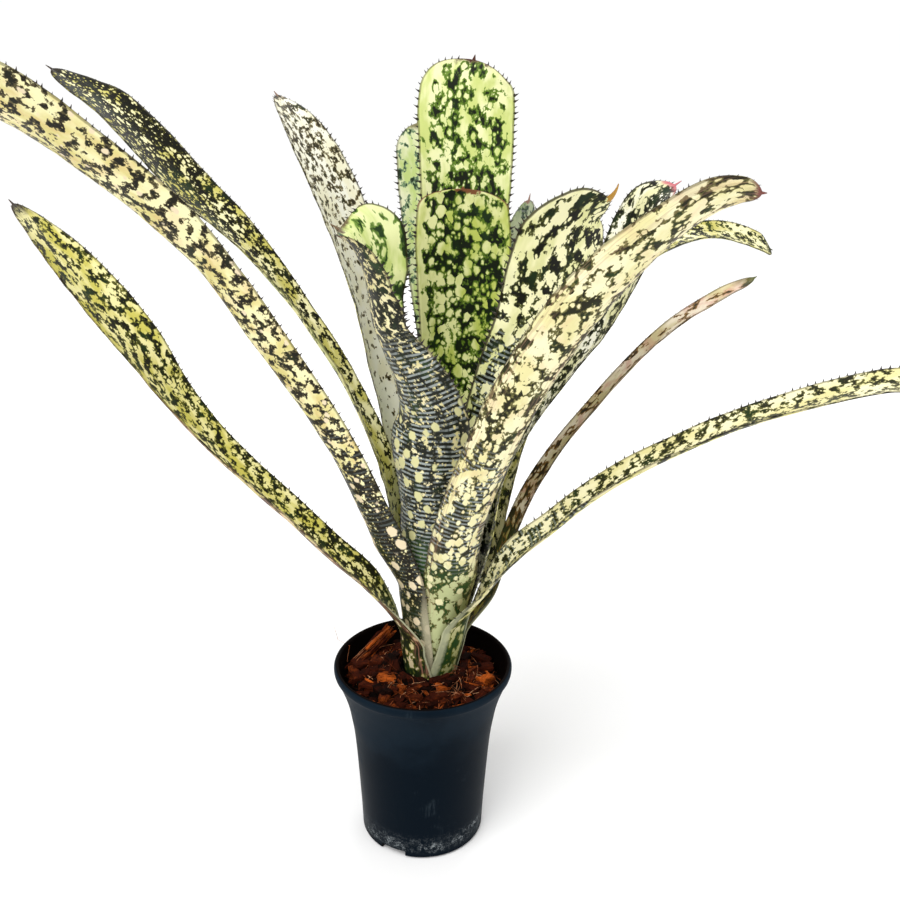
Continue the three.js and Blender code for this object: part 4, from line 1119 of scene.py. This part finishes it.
# A sheaf of husk fibre that leans against the wall behind the plant.
sheaf = {
    "low": (-46, 3, 107), "high": (-21, 40, 118), "count": 26, "long": (16, 44), "spread": 2.6,
    "width": (0.9, 2.3), "height": (0.8, 1.8), "turn": (-7, 7), "tilt": (-5, 5), "shade": (0.3, 0.95),
}
# Smaller pieces that lean on the foot of the plant, made darker as painted shade under the leaves.
collar = {
    "count": 22, "jitter": (-0.3, 0.3), "reach": (20.5, 24), "level": (112.2, 114.4), "long": (7, 11),
    "width": (3, 5), "height": (2.6, 4.2), "turn": (40, 130), "tilt": (-14, 14), "shade": (0.02, 0.4),
}
chipShape = {
    "seed": 41, "cuts": 2, "soften": 0.09, "tear": 0.45, "tearScale": 2.6, "fray": 0.16, "frayScale": 9,
    "tearShift": (9.1, 4.7), "frayShift": 3.3, "grainShift": (37.0, 11.0),     # from chip to chip
}
# Pieces that stand out in the view: place, length, width, height, turn and tilt in degrees, shade.
huskPieces = [
    (-38, 8, 110, 15, 8, 5, 30, 8, 0.45), (-42, -2, 108.5, 14, 6, 5, -70, 6, 0.5),
    (-33, -2, 110, 12, 6, 5, 20, -12, 0.3), (-28.8, 8.5, 111, 13, 8, 5.5, 80, 10, 0.5),
    (-21.3, -12, 111, 12, 8, 5.5, 15, 14, 0.85), (-11.2, -20, 110.5, 9, 5, 4.5, 60, 20, 0.7),
    (12.4, -19, 110.5, 9, 6, 5.5, 35, 10, 0.8), (36.4, 18, 108.5, 13, 6, 5, -20, 8, 0.3),
    (37.6, 7.2, 108.5, 13, 6, 5, 10, -6, 0.4), (38.6, -4.6, 107.5, 12, 8, 6, 50, 12, 0.9),
    (29, -14.6, 108.4, 11, 6, 4.5, -35, 8, 0.3), (-32.5, -14, 108, 12, 6, 4.5, -30, -8, 0.5),
    (-4, -27, 108, 11, 6, 4.2, 5, 5, 0.35), (20, -25, 107.5, 12, 6, 4.5, 25, 6, 0.4),
    (22, 32, 108, 13, 8, 4.5, -40, 4, 0.25),
]
threadShape = {
    "count": 240, "radius": 0.2, "taper": 0.6, "sides": 5, "rowsPerSpan": 4, "seed": 77,
    "points": 5, "reach": (22, 44), "bend": (-1.3, 1.3), "long": (7, 20), "lift": 1.6, "arch": 2.2,
    "shade": (0.0, 0.85), "seenShade": 0.62, "plantClear": 18.4, "wallClear": 0.8, "freeAbove": 117,
}
# Threads that show one by one, as points in the view's front or over the rim.
seenThreads = [
    [(-52.2, 13, 109), (-53.6, 18, 114), (-56.0, 24, 119.8), (-57.5, 27, 122.8), (-58.6, 28.5, 125)],
    [(-2.4, -14.5, 114.5), (-2.2, -18, 112.6), (-1.9, -23, 109.8), (-1.8, -28, 107.6)],
    [(0, -24, 109), (6, -29, 109), (13, -30, 109.2), (20, -26, 110.6), (23, -18, 112)],
    [(26, 2, 113.5), (27.5, -6, 112.5), (26, -15, 110.6), (21, -22, 109.4)],
    [(20, -9, 116), (19, -13, 113.5), (17, -19, 110.6), (16, -24, 109.4)],
    [(27, -2, 113.4), (22, -13, 112.6), (15, -21, 110.8), (10, -25, 109.8)],
    [(-48, 5, 109), (-40, 15, 114), (-31, 27, 117.5), (-23, 37, 120)],
    [(-45, 12, 111), (-38, 20, 115), (-30, 30, 118), (-20, 40, 119.5)],
    [(-46, 0, 110), (-40, 11, 113.6), (-32, 22, 115.5), (-26, 33, 118)],
    [(-43, 16, 111), (-35, 24, 114.5), (-28, 31, 116), (-20, 35, 117)],
    [(-47, 8, 110), (-37, 14, 113), (-28, 22, 114), (-19, 24, 115.5)],
    [(-43, -2, 109), (-30, 2, 113), (-20, 10, 114.4)],
    [(30, 18, 111), (34, 6, 112), (33, -6, 111), (30, -14, 109.5)],
]


def soilHeight(x, y):
    bumps = sum(high * noise.noise(Vector((x * close, y * close, where)))
                for close, where, high in soilShape["bumps"])
    return lineAt(soilShape["levels"], math.hypot(x, y)) + soilShape["roughness"] * bumps


def makeSoil():
    shape = soilShape
    side = [(r * shape["sideGap"], z) for r, z in finer(shape["side"], 2)]
    narrow = (shape["wall"] - shape["hole"]) / shape["rings"]
    rings = [(shape["wall"] - narrow * i, shape["topMark"]) for i in range(shape["rings"] + 1)]
    soil = turnedPiece("substrate_looks", [shape["bottom"]] + side + rings + shape["holeWall"],
                       shape["segments"])
    for vertex in soil.data.vertices:
        x, y, z = vertex.co / mm
        reach = math.hypot(x, y)
        if z > shape["topMark"] - 1:     # the loose top; its rings slide round the off-centre hole
            share = smooth(reach, shape["hole"], shape["wall"])
            x, y = x + plantFoot["x"] * (1 - share), y + plantFoot["y"] * (1 - share)
            vertex.co = Vector((x, y, soilHeight(x, y))) * mm
        elif z > shape["holeWall"][-1][1] - 1 and reach < shape["hole"]:
            vertex.co = Vector((x + plantFoot["x"], y + plantFoot["y"], z)) * mm
    return soil


def makeHuskModel():     # one torn chip on the origin, a unit long, wide and high
    deselectAll()
    bpy.ops.mesh.primitive_cube_add(size=1)
    chip = bpy.context.object
    bpy.ops.object.mode_set(mode="EDIT")
    bpy.ops.mesh.select_all(action="SELECT")
    bpy.ops.mesh.subdivide(number_cuts=chipShape["cuts"])
    bpy.ops.object.mode_set(mode="OBJECT")
    soften = chip.modifiers.new("soften", "BEVEL")
    soften.width = chipShape["soften"]
    soften.limit_method = "ANGLE"
    bpy.ops.object.modifier_apply(modifier="soften")
    return takeShape(chip)


def clearOfPlant(spot, reach, gap):     # moves a loose point off the plant and the pot's wall
    x, y, z = spot
    dx, dy = x - plantFoot["x"], y - plantFoot["y"]
    near = max(1e-6, math.hypot(dx, dy))
    reach += clearSpace["plantWidens"] * max(0.0, z - clearSpace["plantWidensFrom"])
    if near < reach:
        x, y = plantFoot["x"] + dx / near * reach, plantFoot["y"] + dy / near * reach
    inside = lineAt(clearSpace["wall"], z) - gap
    far = math.hypot(x, y)
    if far > inside:
        x, y = x * inside / far, y * inside / far
    spot.x, spot.y = x, y


def draws(draw, kind, *keys):     # a value from each of a kind's ranges, in the order named
    return [draw.uniform(*kind[key]) for key in keys]


# Each chip is its middle, length, width, height, turn and tilt in degrees, and shade.
def collarChips(draw):
    chips = []
    for i in range(collar["count"]):
        turn = 2 * math.pi * (i + draw.uniform(*collar["jitter"])) / collar["count"]
        x, y = around(draw.uniform(*collar["reach"]), turn)
        chip = [plantFoot["x"] + x, plantFoot["y"] + y, *draws(
            draw, collar, "level", "long", "width", "height", "turn", "tilt", "shade")]
        chip[6] += math.degrees(turn)
        chips.append(chip)
    return chips


def sheafChips(draw):
    low, high = Vector(sheaf["low"]), Vector(sheaf["high"])
    lean = (high - low).normalized()
    chips = []
    for _ in range(sheaf["count"]):
        long = draw.uniform(*sheaf["long"])
        middle = low + lean * draw.uniform(long / 2, max(long / 2, (high - low).length - long / 2))
        middle += Vector([draw.gauss(0, sheaf["spread"] / 2) for _ in range(3)])
        chip = [*middle, long, *draws(draw, sheaf, "width", "height", "turn", "tilt", "shade")]
        chip[6] += math.degrees(math.atan2(lean.y, lean.x))
        chip[7] -= math.degrees(math.asin(lean.z))
        chips.append(chip)
    return chips


def looseChips(draw, kind):     # strewn over the top, between plant and wall
    chips = []
    while len(chips) < kind["count"]:
        turn, area = draw.uniform(0, 2 * math.pi), draw.uniform(*strewn["area"])
        x, y = around(strewn["radius"] * math.sqrt(area), turn)
        if math.hypot(x - plantFoot["x"], y - plantFoot["y"]) < strewn["plantReach"]:
            continue
        size = draws(draw, kind, "length", "width", "height")
        chips.append([x, y, soilHeight(x, y) + draw.uniform(*strewn["lift"]), *size,
                      *draws(draw, strewn, "turn", "tilt"), *draws(draw, kind, "shade")])
    return chips


def makeHusk():
    shape = chipShape
    points, faces = makeHuskModel()
    draw = random.Random(shape["seed"])
    chips = huskPieces + collarChips(draw) + sheafChips(draw)
    for kind in (huskShape, splinters):
        chips += looseChips(draw, kind)
    allPoints, allFaces, shades, grain = [], [], [], []
    for index, (x, y, z, long, wide, high, turn, tilt, shade) in enumerate(chips):
        spin = Matrix.Rotation(math.radians(turn), 3, "Z") @ Matrix.Rotation(math.radians(tilt), 3, "Y")
        start = len(allPoints)
        shiftX, shiftY = (index * shift for shift in shape["tearShift"])
        grainX, grainY = (index * shift for shift in shape["grainShift"])
        for p in points:
            torn = 1 + shape["tear"] * noise.noise(Vector((shiftX, shiftY, 0)) + p * shape["tearScale"])
            fray = noise.noise(Vector((p.y * shape["frayScale"], p.z * shape["frayScale"],
                                       index * shape["frayShift"]))) * shape["fray"] * abs(p.x) * 2
            spot = Vector((p.x * (1 + fray) * long, p.y * wide * torn, p.z * high * torn))
            grain += [spot.x + grainX, spot.y + grainY, spot.z]
            spot = spin @ spot + Vector((x, y, z))
            clearOfPlant(spot, clearSpace["plant"], clearSpace["wallGap"])
            allPoints.append(spot)
        allFaces += [tuple(start + i for i in f) for f in faces]
        shades += [shade] * len(points)
    return meshPiece("husk", allPoints, allFaces, huskShade=shades, huskGrain=grain)


def threadLines():     # each thread's points and shade
    draw, shape = random.Random(threadShape["seed"]), threadShape
    lines, spans = [(line, shape["seenShade"]) for line in seenThreads], shape["points"] - 1
    while len(lines) < shape["count"]:
        turn, reach = draw.uniform(0, 2 * math.pi), draw.uniform(*shape["reach"])
        x, y = around(reach, turn)
        way = draw.uniform(0, 2 * math.pi)
        bend, long = draws(draw, shape, "bend", "long")
        line = []
        for i in range(shape["points"]):
            line.append((x, y, soilHeight(x, y) + shape["lift"]
                         + shape["arch"] * math.sin(i / spans * math.pi) * draw.random()))
            x, y = x + math.cos(way) * long / spans, y + math.sin(way) * long / spans
            way += bend / spans
        lines.append((line, draw.uniform(*shape["shade"])))
    return lines


def makeThreads():
    sides = threadShape["sides"]
    allPoints, allFaces, shades = [], [], []
    for line, shade in threadLines():
        points = [Vector(p) for p in line]
        count, start = (len(points) - 1) * threadShape["rowsPerSpan"], len(allPoints)
        for i in range(count + 1):
            here = curvePoint(points, i / count)
            if here.z < threadShape["freeAbove"]:
                clearOfPlant(here, threadShape["plantClear"], threadShape["wallClear"])
            ahead = curveAhead(points, i / count, 0.01)
            level = ahead.cross(Vector((0.3, 0.2, 1))).normalized()
            rise = level.cross(ahead)
            radius = threadShape["radius"] * (1 - threadShape["taper"] * i / count)
            for k in range(sides):
                turn = 2 * math.pi * k / sides
                allPoints.append(here + level * radius * math.cos(turn) + rise * radius * math.sin(turn))
        for i in range(count):
            for k in range(sides):
                a, b = start + i * sides + k, start + i * sides + (k + 1) % sides
                allFaces.append((a, a + sides, b + sides, b))
        allFaces.append(tuple(start + k for k in range(sides)))
        allFaces.append(tuple(start + count * sides + k for k in reversed(range(sides))))
        shades += [shade] * ((count + 1) * sides)
    return meshPiece("threads", allPoints, allFaces, huskShade=shades)


huskFinish = {     # shades from dark to light, and how fine the grain is each way
    "rough": 0.95, "specular": 0.06, "grain": "140703", "relief": 0.8, "reliefDepth": 0.0012,
    # The fines show in the gaps between the chips; their near-black is partly their own colour and partly
    # painted shade in those gaps
    "fines": (("070302", "150704", "2a1008"), (500, 500, 500)),
    "husk": (("0d0402", "3e1508", "bc5a1e"), (0.16, 1.7, 1.7)),
    "threads": (("3a160a", "8f4722", "cfa07a"), (300, 300, 300)),
}


def huskMaterial(name, kind, grainFrom=None):
    shades, grainScale = huskFinish[kind]
    material, tree, skin = newMaterial(name, huskFinish["rough"], huskFinish["specular"])
    place = objectPlace(tree)
    along = attribute(tree, grainFrom, "Vector") if grainFrom else place
    grain = cloud(stretched(along, grainScale), 1.0, 3.0, 0.6)
    mottle = scaled(cloud(place, 160.0, 4.0, 0.65), 0.9, -0.45)
    level = calc("ADD", attribute(tree, "huskShade"), mottle, clamp=True)
    colour = mixed(step(level, 0.0, 0.5), shades[0], shades[1])
    colour = mixed(step(level, 0.45, 1.0), colour, shades[2])
    colour = mixed(step(grain, 0.48, 0.68, 0.0, 0.85), colour, huskFinish["grain"])
    connect(skin["Base Color"], colour)
    relief(skin, grain, huskFinish["relief"], huskFinish["reliefDepth"])
    return material


soil = makeSoil()
husk = makeHusk()
threads = makeThreads()
soil.data.materials.append(huskMaterial("fines_and_gap_shade", "fines"))
husk.data.materials.append(huskMaterial("torn_husk", "husk", "huskGrain"))
threads.data.materials.append(huskMaterial("husk_thread", "threads"))
select(husk, threads, soil)
bpy.ops.object.join()
bpy.ops.object.shade_smooth_by_angle(angle=math.radians(soilShape["smoothAngle"]))
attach(soil, "root")
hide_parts("substrate")
print("substrate made")

# Crown: the short stem, hidden by the leaf bases, keeps its solid and gets a fleshy skin
stemFinish = {"rough": 0.65, "colour": "b9bb8a", "colourTwo": "8a8f55", "relief": 0.3,
              "reliefDepth": 0.0005}


def stemMaterial():
    material, tree, skin = newMaterial("fleshyStem", stemFinish["rough"])
    mottle = cloud(objectPlace(tree), 260.0, 4.0, 0.6)
    connect(skin["Base Color"], mixed(step(mottle, 0.4, 0.62), stemFinish["colour"],
                                      stemFinish["colourTwo"]))
    relief(skin, mottle, stemFinish["relief"], stemFinish["reliefDepth"])
    return material


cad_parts["crown"].material_slots[0].material = stemMaterial()

# Floor
deselectAll()
bpy.ops.mesh.primitive_plane_add(size=viewSettings["floorSize"],
                                 location=(0, 0, -viewSettings["floorDrop"]))
floor = bpy.context.object
floor.name = "pale_floor"
bpy.ops.object.transform_apply(location=True)
floorMaterial, _, floorSkin = newMaterial("paleFloor", viewSettings["floorRough"])
connect(floorSkin["Base Color"], viewSettings["floorColour"])
floor.data.materials.append(floorMaterial)
